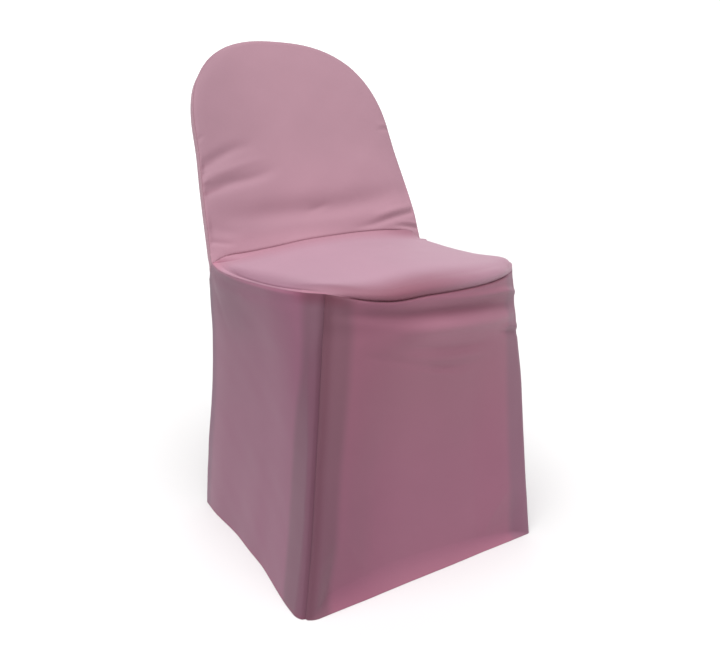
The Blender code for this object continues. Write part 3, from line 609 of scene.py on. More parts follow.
def back_foot_seam():
    """The seam between seat and back."""
    rows = [on_back(x, rise, forward) for x, rise, forward in BACK_FOOT_SEAM]
    return path_through(rows, crowded(ACROSS, CROWDING_ACROSS))


def front_corner(side, finer=1):
    """A front corner seam from the hem up to the seat."""
    x_column, y_column = (1, 2) if side < 0 else (3, 4)
    rows = [(row[x_column], row[y_column], row[0]) for row in FRONT_CORNERS]
    rows.append(lip_corner(side))
    return path_through(rows, crowded(SKIRT_DROP * finer, CROWDING_DROP))


def rear_corner(side, finer=1):
    """A rear corner seam from the hem up to the back's foot."""
    rows = [(side * half_width, y, height) for height, half_width, y in REAR_CORNERS]
    rows.append((side * BACK_START_HALF_WIDTH, BACK_START_Y, BACK_START_HEIGHT))
    return path_through(rows, crowded(SKIRT_DROP * finer, CROWDING_DROP))


def arch_line(side, start_angle, end_angle):
    """Points of the arch, a squared ellipse, between two angles, as x and rise."""
    angles = np.linspace(start_angle, end_angle, ARCH_STEPS)
    power = 2.0 / ARCH_SQUARENESS
    across = np.sign(np.cos(angles)) * np.abs(np.cos(angles)) ** power
    upward = np.abs(np.sin(angles)) ** power
    return side * SPRING_HALF_WIDTH * across, SPRING_RISE + ARCH_RISE * upward


def eased_spring(rise, across):
    """The arch's line with the turn evened out where it springs from its straight leg."""
    reach = np.linspace(-SPRING_EASE, SPRING_EASE, SPRING_EASE_STEPS)
    nearby = np.interp(rise[:, None] + reach[None, :], rise, across).mean(axis=1)
    weight = bump_at(rise, SPRING_RISE, SPRING_EASE_FADE * SPRING_EASE)
    return across + weight * (nearby - across)


def arch_leg(side):
    """The arch seam from the back's foot up to where the arch counts as its top."""
    rise = np.linspace(0.0, SPRING_RISE, ARCH_STEPS)[:-1]
    widths = (BACK_START_HALF_WIDTH, BACK_WAIST_HALF_WIDTH, SPRING_HALF_WIDTH)
    half_width = smooth_at(rise, (0.0, BACK_WAIST_RISE, SPRING_RISE), widths)
    turn_x, turn_rise = arch_line(side, 0.0, ARCH_CORNER_ANGLE)
    rise = np.concatenate([rise, turn_rise])
    x = eased_spring(rise, np.concatenate([side * half_width, turn_x]))
    return path_through(on_back(x, rise, 0.0), np.linspace(0.0, 1.0, BACK_RISE + 1))


def arch_top():
    """The top of the arch seam, between its two legs."""
    x, rise = arch_line(LEFT, ARCH_CORNER_ANGLE, math.pi - ARCH_CORNER_ANGLE)
    return path_through(on_back(x, rise, 0.0), np.linspace(0.0, 1.0, ACROSS + 1))


def blended(bottom, top, left, right):
    """A grid of points between four edges, rows running from the bottom to the top."""
    across = [run_lengths(edge) / run_lengths(edge)[-1] for edge in (bottom, top)]
    upward = [run_lengths(edge) / run_lengths(edge)[-1] for edge in (left, right)]
    u = ((across[0] + across[1]) / 2)[None, :, None]
    v = ((upward[0] + upward[1]) / 2)[:, None, None]
    ruled = (1 - v) * bottom[None] + v * top[None] + (1 - u) * left[:, None] + u * right[:, None]
    corners = (1 - u) * ((1 - v) * bottom[0] + v * top[0]) + u * ((1 - v) * bottom[-1] + v * top[-1])
    return ruled - corners


def framed(left, top, right, bottom, rings):
    """A grid whose outer rings follow the left, top and right edges around a blended middle."""
    rows = len(left) - 1
    columns = len(top) - 1
    grid = np.zeros((rows + 1, columns + 1, 3))
    edges = [(left, top, right)] + rings
    for ring, (ring_left, ring_top, ring_right) in enumerate(edges):
        last_row = rows - ring
        last_column = columns - ring
        for column, line in ((ring, ring_left), (last_column, ring_right)):
            line = resampled(line, last_row)
            if bottom is not None:
                fading = (1 - np.linspace(0.0, 1.0, last_row + 1)) ** FOOT_FADE_POWER
                line = line + fading[:, None] * (bottom[column] - line[0])
            grid[: last_row + 1, column] = line
        grid[last_row, ring : last_column + 1] = resampled(ring_top, last_column - ring)
    inside = len(rings)
    last_row = rows - inside
    last_column = columns - inside
    if bottom is None:
        share = crowded(columns, CROWDING_ACROSS)[inside : last_column + 1]
        share = (share - share[0]) / (share[-1] - share[0])
        foot = grid[0, inside] + share[:, None] * (grid[0, last_column] - grid[0, inside])
    else:
        foot = bottom[inside : last_column + 1]
    grid[: last_row + 1, inside : last_column + 1] = blended(
        foot,
        grid[last_row, inside : last_column + 1],
        grid[: last_row + 1, inside],
        grid[: last_row + 1, last_column],
    )
    return grid


def outward_in_plane(line, plane_normal, away_from):
    """Unit directions square to a line within a plane, pointing away from a point."""
    along = np.gradient(line, axis=0)
    out = np.cross(along, plane_normal)
    out /= np.linalg.norm(out, axis=1)[:, None]
    facing = np.sum(out * (line - away_from), axis=1)
    return np.where(facing[:, None] < 0, -out, out)


def round_corner(distance, radius):
    """How far a rounded corner stands out past its seam, by the distance from the seam."""
    radius = np.maximum(radius, LEAST_RADIUS)
    reach = radius * math.sqrt(0.5)
    inside = np.minimum(distance, reach)
    return np.sqrt(radius**2 - (reach - inside) ** 2) - reach


def cuts_from_edge(grid):
    """How many cuts each point of a grid lies in from its left, right and top edges."""
    rows, columns = grid.shape[:2]
    column = np.arange(columns)[None, :]
    row = np.arange(rows)[:, None]
    return np.minimum(np.minimum(column, columns - 1 - column), rows - 1 - row)


def smoothly_finer(grid, axis):
    """The grid cut finer along one axis, on smooth curves through its points."""
    moved = np.moveaxis(grid, axis, 0)
    steps = np.linalg.norm(np.diff(moved, axis=0), axis=2).mean(axis=1)
    keys = np.concatenate([[0.0], np.cumsum(steps)])
    index = np.arange(len(keys))
    places = np.interp(np.linspace(0, index[-1], index[-1] * FINER + 1), index, keys)
    return np.moveaxis(smooth_at(places, keys, moved), 0, axis)


def refined(grid, kink=None):
    """The grid cut finer both ways. Its side edges may turn sharply at the row named kink."""
    fine = smoothly_finer(grid, 0)
    if kink is not None:
        lower = smoothly_finer(grid[: kink + 1], 0)
        upper = smoothly_finer(grid[kink:], 0)
        bent = np.concatenate([lower, upper[1:]])
        columns = grid.shape[1]
        from_side = np.minimum(np.arange(columns), np.arange(columns)[::-1])
        smooth = ramp(from_side, 0, KINK_CUTS)[None, :, None]
        fine = bent * (1 - smooth) + fine * smooth
    return smoothly_finer(fine, 1)


def eased(grid, corners):
    """The grid with its points evened out near some places, and its edges as they were."""
    for corner in corners:
        away = np.linalg.norm(grid - corner, axis=2) / CORNER_EASE_REACH
        weight = np.exp(-(away**2))[1:-1, 1:-1, None]
        for _ in range(CORNER_EASE_ROUNDS):
            around = grid[:-2, 1:-1] + grid[2:, 1:-1] + grid[1:-1, :-2] + grid[1:-1, 2:]
            grid[1:-1, 1:-1] += weight * (around / 4 - grid[1:-1, 1:-1])
    return grid


def seat_grid():
    """The seat panel: a lip that rolls over the front seam, lower side edges and a crown."""
    left = side_seam(LEFT)
    right = side_seam(RIGHT)
    front = lip_seam()
    edges = (
        (left, column_at(left[:, 1], SIDE_EDGE_RISE, 1)),
        (front, column_at(front[:, 0], LIP_RISE, 1)),
        (right, column_at(right[:, 1], SIDE_EDGE_RISE, 2)),
    )
    rings = []
    for lip_inset, side_inset, share_of_rise in SEAT_RINGS:
        ring = []
        for line, rise in edges:
            rolled = ramp(rise, SLOPED_RISE, ROLLED_RISE)
            inset = side_inset + (lip_inset - side_inset) * rolled
            out = outward_in_plane(line, UP, SEAT_MIDDLE)
            ring.append(line - inset[:, None] * out + (rise * share_of_rise)[:, None] * UP)
        rings.append(tuple(ring))
    grid = framed(left, front, right, back_foot_seam(), rings)
    inside = len(rings)
    field = grid[:-inside, inside:-inside]
    x, y, height = field[..., 0], field[..., 1], field[..., 2]
    u = (x - x[:, :1]) / (x[:, -1:] - x[:, :1])
    v = (y[0] - y) / (y[0] - y[-1])
    foot_rise = height[0] - (height[0, 0] * (1 - u[0]) + height[0, -1] * u[0])
    height -= foot_rise * ((1 - v) - (1 - v) ** FOOT_RISE_FADE)
    crown = 4 * u * (1 - u) * np.clip(np.sin(math.pi * v**CROWN_FULLNESS), 0, 1) ** CROWN_FULLNESS
    height += SEAT_CROWN * crown
    return eased(refined(grid), (left[-1], right[-1]))


def inner_back_grid():
    """The front of the backrest, before its folds."""
    left = arch_leg(LEFT)
    right = arch_leg(RIGHT)
    top = arch_top()
    middle = on_back(0.0, SPRING_RISE, 0.0)
    rings = []
    for inset, forward in INNER_BACK_RINGS:
        ring = []
        for line in (left, top, right):
            out = outward_in_plane(line, BACK_FORWARD, middle)
            ring.append(line - inset * out + forward * BACK_FORWARD)
        rings.append(tuple(ring))
    grid = framed(left, top, right, back_foot_seam(), rings)
    from_edge = cuts_from_edge(grid)
    from_foot = np.arange(len(grid))[:, None]
    free = ramp(from_edge, 0, len(rings)) * ramp(from_foot, 0, len(rings))
    swell = FRONT_FACE_SWELL * ramp(from_edge, 0, FRONT_SWELL_CUTS)
    fine = refined(grid + (free * swell)[..., None] * BACK_FORWARD)
    return eased(fine, (left[-1], right[-1]))


def rear_ring(line, is_arch, step):
    """A line of the rear panel beside one of its seams, by a row of OUTER_BACK_RINGS."""
    rim_out, rim_behind, corner_out, corner_behind = step
    rim = ramp(line[:, 2], *CORNER_TO_RIM)[:, None]
    out = outward_in_plane(line, BACK_FORWARD, on_back(0.0, SPRING_RISE, 0.0))
    if not is_arch:
        turned = ramp(line[:, 2], *SIDE_TO_ARCH)[:, None]
        sideways = np.zeros_like(line)
        sideways[:, 0] = np.sign(line[:, 0])
        out = sideways * (1 - turned) + out * turned
    outward = (rim * rim_out + (1 - rim) * corner_out) * out
    behind = rim * rim_behind + (1 - rim) * corner_behind
    return line + outward + behind * ((1 - rim) * BACKWARD - rim * BACK_FORWARD)


def outer_back_grid():
    """The long rear panel: round the backrest's edge, down its back and on to the rear hem."""
    left = np.concatenate([rear_corner(LEFT), arch_leg(LEFT)[1:]])
    right = np.concatenate([rear_corner(RIGHT), arch_leg(RIGHT)[1:]])
    top = arch_top()
    rings = []
    for step in OUTER_BACK_RINGS:
        sides = [rear_ring(line, False, step) for line in (left, right)]
        rings.append((sides[0], rear_ring(top, True, step), sides[1]))
    grid = framed(left, top, right, None, rings)
    height = grid[..., 2]
    from_rings = cuts_from_edge(grid) - len(rings)
    swell = ramp(from_rings, 0, REAR_SWELL_CUTS) * ramp(height, *REAR_SWELL_STARTS)
    hollow = ramp(from_rings, 0, REAR_HOLLOW_CUTS) * ramp(height, *REAR_HOLLOW_ENDS)
    grid[..., 1] += REAR_FACE_SWELL * swell - column_at(height, REAR_HOLLOW, 1) * hollow
    return eased(refined(grid, kink=SKIRT_DROP), (left[-1], right[-1]))


def bow_of(seam, along, outward):
    """How far a seam stands out of the straight line between its ends, by share of its length."""
    share = (seam[:, along] - seam[0, along]) / (seam[-1, along] - seam[0, along])
    straight = seam[0, outward] + share * (seam[-1, outward] - seam[0, outward])
    return share, seam[:, outward] - straight


def front_skirt_grid():
    """The front of the skirt: bowed out by the seat at its top, hollow between the legs."""
    left = front_corner(LEFT, FINER)
    right = front_corner(RIGHT, FINER)
    top = lip_seam(FINER)
    share = crowded(ACROSS * FINER, CROWDING_ACROSS)[:, None]
    foot = left[0] + share * (right[0] - left[0])
    grid = blended(foot, top, left, right)
    x = grid[..., 0]
    height = grid[..., 2]
    from_left = x - grid[:, :1, 0]
    from_right = grid[:, -1:, 0] - x
    from_leg = np.minimum(from_left, from_right)
    u = from_left / (from_left + from_right)
    top_share, top_bow = bow_of(top, 0, 1)
    below_seam = np.interp(u, top_share, top[:, 2]) - height
    y = left[:, 1][:, None] * (1 - u) + right[:, 1][:, None] * u
    y += np.interp(u, top_share, top_bow) * column_at(below_seam, FRONT_BOW_KEPT, 1)
    y -= round_corner(from_left, column_at(height, CORNER_RADIUS, 1))
    y -= round_corner(from_right, column_at(height, CORNER_RADIUS, 2))
    crease = column_at(u, HEM_CREASE, 1)
    below_crease = np.clip(height / crease, 0, 1)
    flare = below_crease + FLARE_CURL * below_crease * (1 - below_crease)
    hem_fall = HEM_FALL * ramp(from_leg, *CREASE_CLEAR_OF_CORNER)
    hem_fall *= 1 - ramp(height, crease, crease + HEM_FALL_FADES)
    clear_of_leg = ramp(from_leg, LEG_WIDTH, LEG_WIDTH + LEG_TO_HOLLOW)
    hollow = column_at(height, FRONT_HOLLOW, 1) * clear_of_leg
    y += np.maximum(hollow, hem_fall) * flare
    grid[:-1, 1:-1, 1] = y[:-1, 1:-1]
    return grid


def side_skirt_grid(side):
    """A side of the skirt, with its columns from the rear corner to the front one."""
    rear = rear_corner(side, FINER)
    front = front_corner(side, FINER)
    top = side_seam(side, FINER)
    share = crowded(SEAT_DEEP * FINER, CROWDING_DEEP)[:, None]
    foot = rear[0] + share * (front[0] - rear[0])
    grid = blended(foot, top, rear, front)
    y = grid[..., 1]
    height = grid[..., 2]
    from_rear = grid[:, :1, 1] - y
    from_front = y - grid[:, -1:, 1]
    from_leg = np.minimum(from_rear, from_front)
    u = from_rear / (from_rear + from_front)
    top_share, top_bow = bow_of(top, 1, 0)
    below_seam = np.interp(u, top_share, top[:, 2]) - height
    width = side * (rear[:, 0][:, None] * (1 - u) + front[:, 0][:, None] * u)
    width += side * np.interp(u, top_share, top_bow) * column_at(below_seam, SIDE_BOW_KEPT, 1)
    radius_column = 1 if side < 0 else 2
    width += round_corner(from_front, column_at(height, CORNER_RADIUS, radius_column))
    width += round_corner(from_rear, REAR_CORNER_RADIUS * ramp(height, *REAR_ROUNDING_ENDS))
    clear_of_leg = ramp(from_leg, LEG_WIDTH, LEG_WIDTH + SIDE_LEG_TO_HOLLOW)
    width -= column_at(height, SIDE_HOLLOW, 1) * clear_of_leg
    grid[:-1, 1:-1, 0] = side * width[:-1, 1:-1]
    return grid


def facing_out(grid, outward):
    """The grid with its columns reversed where needed, so that its faces point outward."""
    rows, columns = grid.shape[:2]
    row, column = rows // 2, columns // 2
    across = grid[row, column + 1] - grid[row, column]
    upward = grid[row + 1, column] - grid[row, column]
    return grid if np.dot(np.cross(across, upward), outward) > 0 else grid[:, ::-1]


def grid_normals(grid):
    """Unit normals of a grid's points, averaged over the faces that meet there."""
    rising = grid[1:, 1:] - grid[:-1, :-1]
    falling = grid[1:, :-1] - grid[:-1, 1:]
    face = np.cross(rising, falling)
    normal = np.zeros_like(grid)
    for rows in (slice(None, -1), slice(1, None)):
        for columns in (slice(None, -1), slice(1, None)):
            normal[rows, columns] += face
    return normal / np.maximum(np.linalg.norm(normal, axis=2), LEAST_LENGTH)[..., None]


def lift_of_folds(first, second, folds, from_edge):
    """How far the folds lift the cloth at places given by two coordinates."""
    places = np.stack([first, second], axis=-1)
    lift = np.zeros_like(first)
    for half_width, path in folds:
        path = np.asarray(path, float)
        keys = run_lengths(path[:, :2])
        line = smooth_at(np.linspace(0.0, keys[-1], FOLD_STEPS * len(path)), keys, path)
        nearest = np.full(first.shape, np.inf)
        strength = np.zeros_like(first)
        for start, end in zip(line[:-1], line[1:]):
            step = end[:2] - start[:2]
            share = np.clip((places - start[:2]) @ step / (step @ step), 0.0, 1.0)
            away = np.linalg.norm(places - start[:2] - share[..., None] * step, axis=-1)
            closer = away < nearest
            nearest = np.where(closer, away, nearest)
            strength = np.where(closer, start[2] + share * (end[2] - start[2]), strength)
        free = ramp(from_edge, 0.0, min(EDGE_REACH, FOLD_CLEARANCE * half_width))
        lift += free * strength * np.exp(-((nearest / half_width) ** 2))
    return lift


def unevenness(first, second, turn):
    """Broad soft waves over the cloth, different for each turn."""
    total = np.zeros_like(first)
    for number, length in enumerate(WAVE_LENGTHS):
        angle = turn + WAVE_TURN * number
        along = first * math.cos(angle) + second * math.sin(angle)
        beside = second * math.cos(angle) - first * math.sin(angle)
        wave = np.sin(2 * math.pi * along / length + turn)
        wave *= np.cos(2 * math.pi * beside / (WAVE_STRETCH * length))
        total += wave / (number + 1)
    return WAVE_HEIGHT * total


def from_edges(grid):
    """How far each point of a grid lies in from each of its four edges, measured along the cloth."""
    upward = np.linalg.norm(np.diff(grid, axis=0), axis=2).cumsum(axis=0)
    across = np.linalg.norm(np.diff(grid, axis=1), axis=2).cumsum(axis=1)
    upward = np.concatenate([np.zeros((1, grid.shape[1])), upward])
    across = np.concatenate([np.zeros((grid.shape[0], 1)), across], axis=1)
    return {
        "bottom": upward,
        "top": upward[-1:] - upward,
        "left": across,
        "right": across[:, -1:] - across,
    }


def spread_in(line, edge, shape):
    """Values along an edge, repeated over the grid inwards from it."""
    if edge in ("bottom", "top"):
        return np.broadcast_to(line[None], shape + line.shape[1:])
    return np.broadcast_to(line[:, None], shape + line.shape[1:])


def shared_normals(name, edge, sheets):
    """Normals along an edge, averaged with those of the panels sewn to it there."""
    points = sheets[name]["grid"][EDGES[edge]]
    total = sheets[name]["normals"][EDGES[edge]].copy()
    for other_name, other in sheets.items():
        if other_name == name:
            continue
        other_points = np.concatenate([other["grid"][EDGES[side]] for side in other["sewn"]])
        other_normals = np.concatenate([other["normals"][EDGES[side]] for side in other["sewn"]])
        apart = np.linalg.norm(points[:, None] - other_points[None], axis=2)
        nearest = apart.argmin(axis=1)
        near = apart[np.arange(len(points)), nearest] < NEIGHBOUR_REACH
        total += np.where(near[:, None], other_normals[nearest], 0.0)
    return total / np.maximum(np.linalg.norm(total, axis=1), LEAST_LENGTH)[:, None]


def inward_of_edge(points, normals, grid):
    """Unit directions into a panel, square to one of its edges."""
    into = np.cross(normals, np.gradient(points, axis=0))
    into /= np.maximum(np.linalg.norm(into, axis=1), LEAST_LENGTH)[:, None]
    middle = len(points) // 2
    to_centre = grid[grid.shape[0] // 2, grid.shape[1] // 2] - points[middle]
    return into if np.dot(into[middle], to_centre) > 0 else -into


def sewn_up(name, sheets):
    """A panel's outer and inner points, its edges rolled in to their seams, and painted shade there."""
    sheet = sheets[name]
    grid = sheet["grid"]
    shape = grid.shape[:2]
    normals = sheet["normals"]
    distances = from_edges(grid)
    nearest = np.full(shape, np.inf)
    seam_normal = normals.copy()
    inward = np.zeros_like(grid)
    along = np.zeros(shape)
    sunk = np.zeros(shape)
    raised = np.zeros(shape)
    shade = np.ones(shape)
    for edge, kind in sheet["sewn"].items():
        sink, sink_width, (roll, *roll_place), (groove, *groove_place), dark, line = SEAMS[kind]
        points = grid[EDGES[edge]]
        distance = distances[edge]
        closer = distance < nearest
        nearest = np.where(closer, distance, nearest)
        shared = spread_in(shared_normals(name, edge, sheets), edge, shape)
        seam_normal = np.where(closer[..., None], shared, seam_normal)
        inwards = inward_of_edge(points, normals[EDGES[edge]], grid)
        inward = np.where(closer[..., None], spread_in(inwards, edge, shape), inward)
        run = run_lengths(points)
        along = np.where(closer, spread_in(run, edge, shape), along)
        from_end = np.minimum(run, run[-1] - run) / run[-1]
        depth = SEAM_END_SINK + (sink - SEAM_END_SINK) * ramp(from_end, *SINK_STARTS)
        sunk = np.maximum(sunk, spread_in(depth, edge, shape) * bump_at(distance, 0.0, sink_width))
        inside = spread_in(ramp(from_end, *ROLL_STARTS), edge, shape)
        hollow = inside * bump_at(distance, *groove_place)
        raised += inside * roll * bump_at(distance, *roll_place)
        raised -= groove * hollow
        # Painted shade along the seam and in the groove beside it, where little light reaches
        shade = np.minimum(shade, 1 - (1 - dark) * inside * bump_at(distance, 0.0, line))
        if groove > 0:
            shade = np.minimum(shade, 1 - GROOVE_PAINTED_SHADE * hollow)
    phase = 2 * math.pi * along / PUCKER_LENGTH
    ripple = np.sin(phase + PUCKER_SWAY * np.sin(phase * PUCKER_SWAY_RATE))
    ripple *= 1 - PUCKER_SWELL + PUCKER_SWELL * np.sin(phase * PUCKER_SWELL_RATE)
    beside_seam = bump_at(nearest, *PUCKER_BAND)
    gap = np.hypot(nearest, SEAM_HALF_GAP) - nearest
    outer = grid - sunk[..., None] * seam_normal + gap[..., None] * inward
    outer = outer + (raised + PUCKER_HEIGHT * ripple * beside_seam)[..., None] * normals
    level = np.sum(seam_normal * normals, axis=2)
    mitre = seam_normal / np.maximum(level, 0.5)[..., None]
    mitred = bump_at(nearest, 0.0, MITRE_REACH)[..., None]
    inner = outer - CLOTH_THICKNESS * (mitre * mitred + normals * (1 - mitred))
    if "bottom" not in sheet["sewn"]:
        outer[0, :, 2] = 0.0
        inner[0, :, 2] = 0.0
    return outer, inner, shade


def add_object(name, data):
    """A new object in the scene."""
    made = bpy.data.objects.new(name, data)
    bpy.context.scene.collection.objects.link(made)
    return made


def shader_material(name, settings):
    """A new material, and its shader with the given settings."""
    material = bpy.data.materials.new(name)
    material.use_nodes = True
    shader = material.node_tree.nodes["Principled BSDF"]
    for setting, value in settings.items():
        shader.inputs[setting].default_value = value
    return material, shader


def cloth_object(name, outer, inner, colours):
    """A closed mesh of cloth from its outer and inner points, with its colours and a metric UV map."""
    rows, columns = outer.shape[:2]
    count = rows * columns
    points = np.concatenate([outer.reshape(-1, 3), inner.reshape(-1, 3)]) - ORIGIN_HEIGHT * UP
    number = np.arange(count).reshape(rows, columns)
    front = np.stack([number[:-1, :-1], number[:-1, 1:], number[1:, 1:], number[1:, :-1]], axis=-1)
    front = front.reshape(-1, 4)
    back = front[:, ::-1] + count
    around = np.concatenate([number[0, :-1], number[:-1, -1], number[-1, :0:-1], number[:0:-1, 0]])
    onward = np.roll(around, -1)
    rim = np.stack([onward, around, around + count, onward + count], axis=-1)
    faces = np.concatenate([front, back, rim])
    mesh = bpy.data.meshes.new(name)
    mesh.from_pydata(points.tolist(), [], faces.tolist())
    across = np.linalg.norm(np.diff(outer, axis=1), axis=2).mean(axis=0)
    upward = np.linalg.norm(np.diff(outer, axis=0), axis=2).mean(axis=1)
    u = np.concatenate([[0.0], np.cumsum(across)])
    v = np.concatenate([[0.0], np.cumsum(upward)])
    place = np.stack(np.broadcast_arrays(u[None, :], v[:, None]), axis=-1).reshape(-1, 2)
    place = np.concatenate([place, place])
    loops = np.zeros(len(mesh.loops), int)
    mesh.loops.foreach_get("vertex_index", loops)
    mesh.uv_layers.new(name="knit").data.foreach_set("uv", place[loops].ravel())
    tone = mesh.color_attributes.new("tone", "FLOAT_COLOR", "POINT")
    flat = np.concatenate([colours.reshape(-1, 3)] * 2)
    tone.data.foreach_set("color", np.concatenate([flat, np.ones((len(flat), 1))], axis=1).ravel())
    mesh.shade_smooth()
    mesh.set_sharp_from_angle(angle=SHARP_ANGLE)
    return add_object(name, mesh)


def shaded(colours, shade, amount):
    """The colours times a shade where amount is 1, unchanged where it is 0."""
    return colours * (1 + amount[..., None] * (np.asarray(shade) - 1))


def tinted(grid, colour, layers):
    """One colour over a grid, with the shade of each layer laid on where its amount is above 0."""
    colours = np.broadcast_to(np.asarray(colour), grid.shape).copy()
    for shade, amount in layers:
        colours = shaded(colours, shade, amount)
    return colours


def creases(first, second, paths):
    """The layer of painted shade in creases at places given by two coordinates."""
    return CREASE_PAINTED_SHADE, lift_of_folds(first, second, paths, np.full_like(first, EDGE_REACH))


def legs_behind(place, height, edges):
    """Where the legs lie behind the cloth: before a first edge and past a second one."""
    first, second = (place - column_at(height, edges, column) for column in (1, 2))
    softness = (-LEG_EDGE_SOFTNESS, LEG_EDGE_SOFTNESS)
    return 1 - ramp(first, *softness), ramp(second, *softness)


def corner_top(from_top, from_corner):
    """The layer of painted shade at the top of a front corner, under the seat's edge where the seams
    meet.
    """
    near = (1 - ramp(from_top, *CORNER_TOP_FADE)) * (1 - ramp(from_corner, *CORNER_SIDE_FADE))
    return CORNER_TOP_PAINTED_SHADE, near


def front_colours(grid):
    """The front skirt's tone: darker over the legs, painted shade under the lip, painted light at the
    hem.
    """
    x, height = grid[..., 0], grid[..., 2]
    near_leg, far_leg = legs_behind(x, height, FRONT_LEG_EDGES)
    from_left = x - x[:, :1]
    crease = column_at(from_left / (x[:, -1:] - x[:, :1]), HEM_CREASE, 1)
    return tinted(grid, FRONT_COLOUR, (
        (LEG_SHADE, near_leg),
        (FAR_LEG_SHADE, far_leg),
        (BESIDE_LEG_PAINTED_SHADOW, (1 - ramp(x, *BESIDE_LEG)) * (1 - near_leg)),
        (CORNER_SHADE, bump_at(np.abs(from_left), FRONT_CORNER_OFFSET, FRONT_CORNER_LINE)),
        (FRONT_LOW_SHADE, 1 - ramp(height, *FRONT_LOW)),
        creases(x, height, FRONT_CREASES),
        corner_top(from_edges(grid)["top"], from_left),
        (UNDER_LIP_PAINTED_SHADE, ramp(height, *UNDER_LIP) * (1 - ramp(x, *UNDER_LIP_ENDS))),
        (BULGE_PAINTED_LIGHT, bump_at(height, *BULGE) * ramp(x, *BULGE_STARTS)),
        (HEM_PAINTED_LIGHT, 1 - ramp(height, 0.0, crease)),
    ))


def side_colours(grid):
    """A side's tone: darker over the legs and its top, painted light on the roll of its seam."""
    y, height = grid[..., 1], grid[..., 2]
    front_leg, rear_leg = legs_behind(y, height, SIDE_LEG_EDGES)
    from_front = y - y.min(axis=1, keepdims=True)
    from_top = from_edges(grid)["top"]
    roll = (1 - ramp(from_top, *SIDE_SEAM_ROLL)) * ramp(from_front, *SIDE_ROLL_STARTS)
    return tinted(grid, SIDE_COLOUR, (
        (SIDE_LEG_SHADE, front_leg),
        (FAR_LEG_SHADE, rear_leg),
        (CORNER_SHADE, bump_at(from_front, 0.0, SIDE_CORNER_LINE)),
        (SIDE_FRONT_SHADE, (1 - ramp(y, *SIDE_FRONT)) * (1 - ramp(height, *SIDE_FRONT_TOP))),
        (SIDE_TOP_SHADE, ramp(height, *SIDE_TOP) * ramp(y, *SIDE_TOP_STARTS)),
        (SIDE_SEAM_ROLL_PAINTED_LIGHT, roll),
        corner_top(from_top, from_front),
        (SIDE_HEM_SHADE, 1 - ramp(height, 0.0, HEM_LINE_HEIGHT)),
    ))


def rear_colours(grid):
    """The rear panel's tone: dark over the space and the legs, pale over the backrest."""
    x, height = grid[..., 0], grid[..., 2]
    shell = ramp(height, *REAR_SHELL)[..., None]
    from_corner = np.abs(np.abs(x) - np.abs(x).max(axis=1, keepdims=True))
    leg = 1 - ramp(from_corner - REAR_LEG_BAND, -LEG_EDGE_SOFTNESS, LEG_EDGE_SOFTNESS)
    below = tinted(grid, REAR_COLOUR, ((LEG_SHADE, leg),))
    colours = below * (1 - shell) + np.asarray(BACK_COLOUR) * shell
    # Painted light along the hem
    return shaded(colours, HEM_PAINTED_LIGHT, 1 - ramp(height, 0.0, HEM_LINE_HEIGHT))


def seat_colours(grid):
    """The seat's tone: painted shade on its lip, rear, corner, left edge and crease, painted light on
    its roll.
    """
    x, y = grid[..., 0], grid[..., 1]
    distances = from_edges(grid)
    from_front = distances["top"]
    from_back = distances["bottom"]
    from_side = distances["left" if x[0, 0] < 0 else "right"]
    hollow = 1 - ramp(from_side / column_at(y, SEAT_EDGE_HOLLOW, 1), *SEAT_HOLLOW_FADE)
    hollow *= ramp(from_side, *SEAT_HOLLOW_STARTS)
    hollow *= ramp(from_back, *SEAT_HOLLOW_REAR) * ramp(from_front, *SEAT_HOLLOW_FRONT)
    return tinted(grid, SEAT_COLOUR, (
        (LIP_PAINTED_SHADE, (1 - ramp(from_front, *LIP_FADE)) * column_at(x, LIP_DEPTH, 1)),
        (SEAT_REAR_PAINTED_SHADE, 1 - ramp(from_back, *SEAT_REAR)),
        (SEAT_CORNER_PAINTED_SHADOW, ramp(x, *SEAT_CORNER_STARTS) * (1 - ramp(from_back, *SEAT_CORNER))),
        (SEAT_EDGE_PAINTED_SHADE, hollow),
        (SEAT_EDGE_ROLL_PAINTED_LIGHT, bump_at(from_side, *SEAT_EDGE_ROLL)),
        creases(x, y, SEAT_CREASES),
    ))


def back_colours(grid):
    """The backrest's tone: painted light towards its foot, darker at its left."""
    x = grid[..., 0]
    rise = back_rise(grid)
    foot = (1 - ramp(rise, *BACK_FOOT)) * (1 - ramp(x, *BACK_FOOT_ENDS))
    return tinted(grid, BACK_COLOUR, (
        (BACK_LOW_PAINTED_LIGHT, 1 - ramp(rise, *BACK_LOW)),
        (BACK_LEFT_SHADE, 1 - ramp(x, *BACK_LEFT)),
        creases(x, rise, BACK_CREASES),
        (BACK_FOOT_PAINTED_LIGHT, foot),
    ))


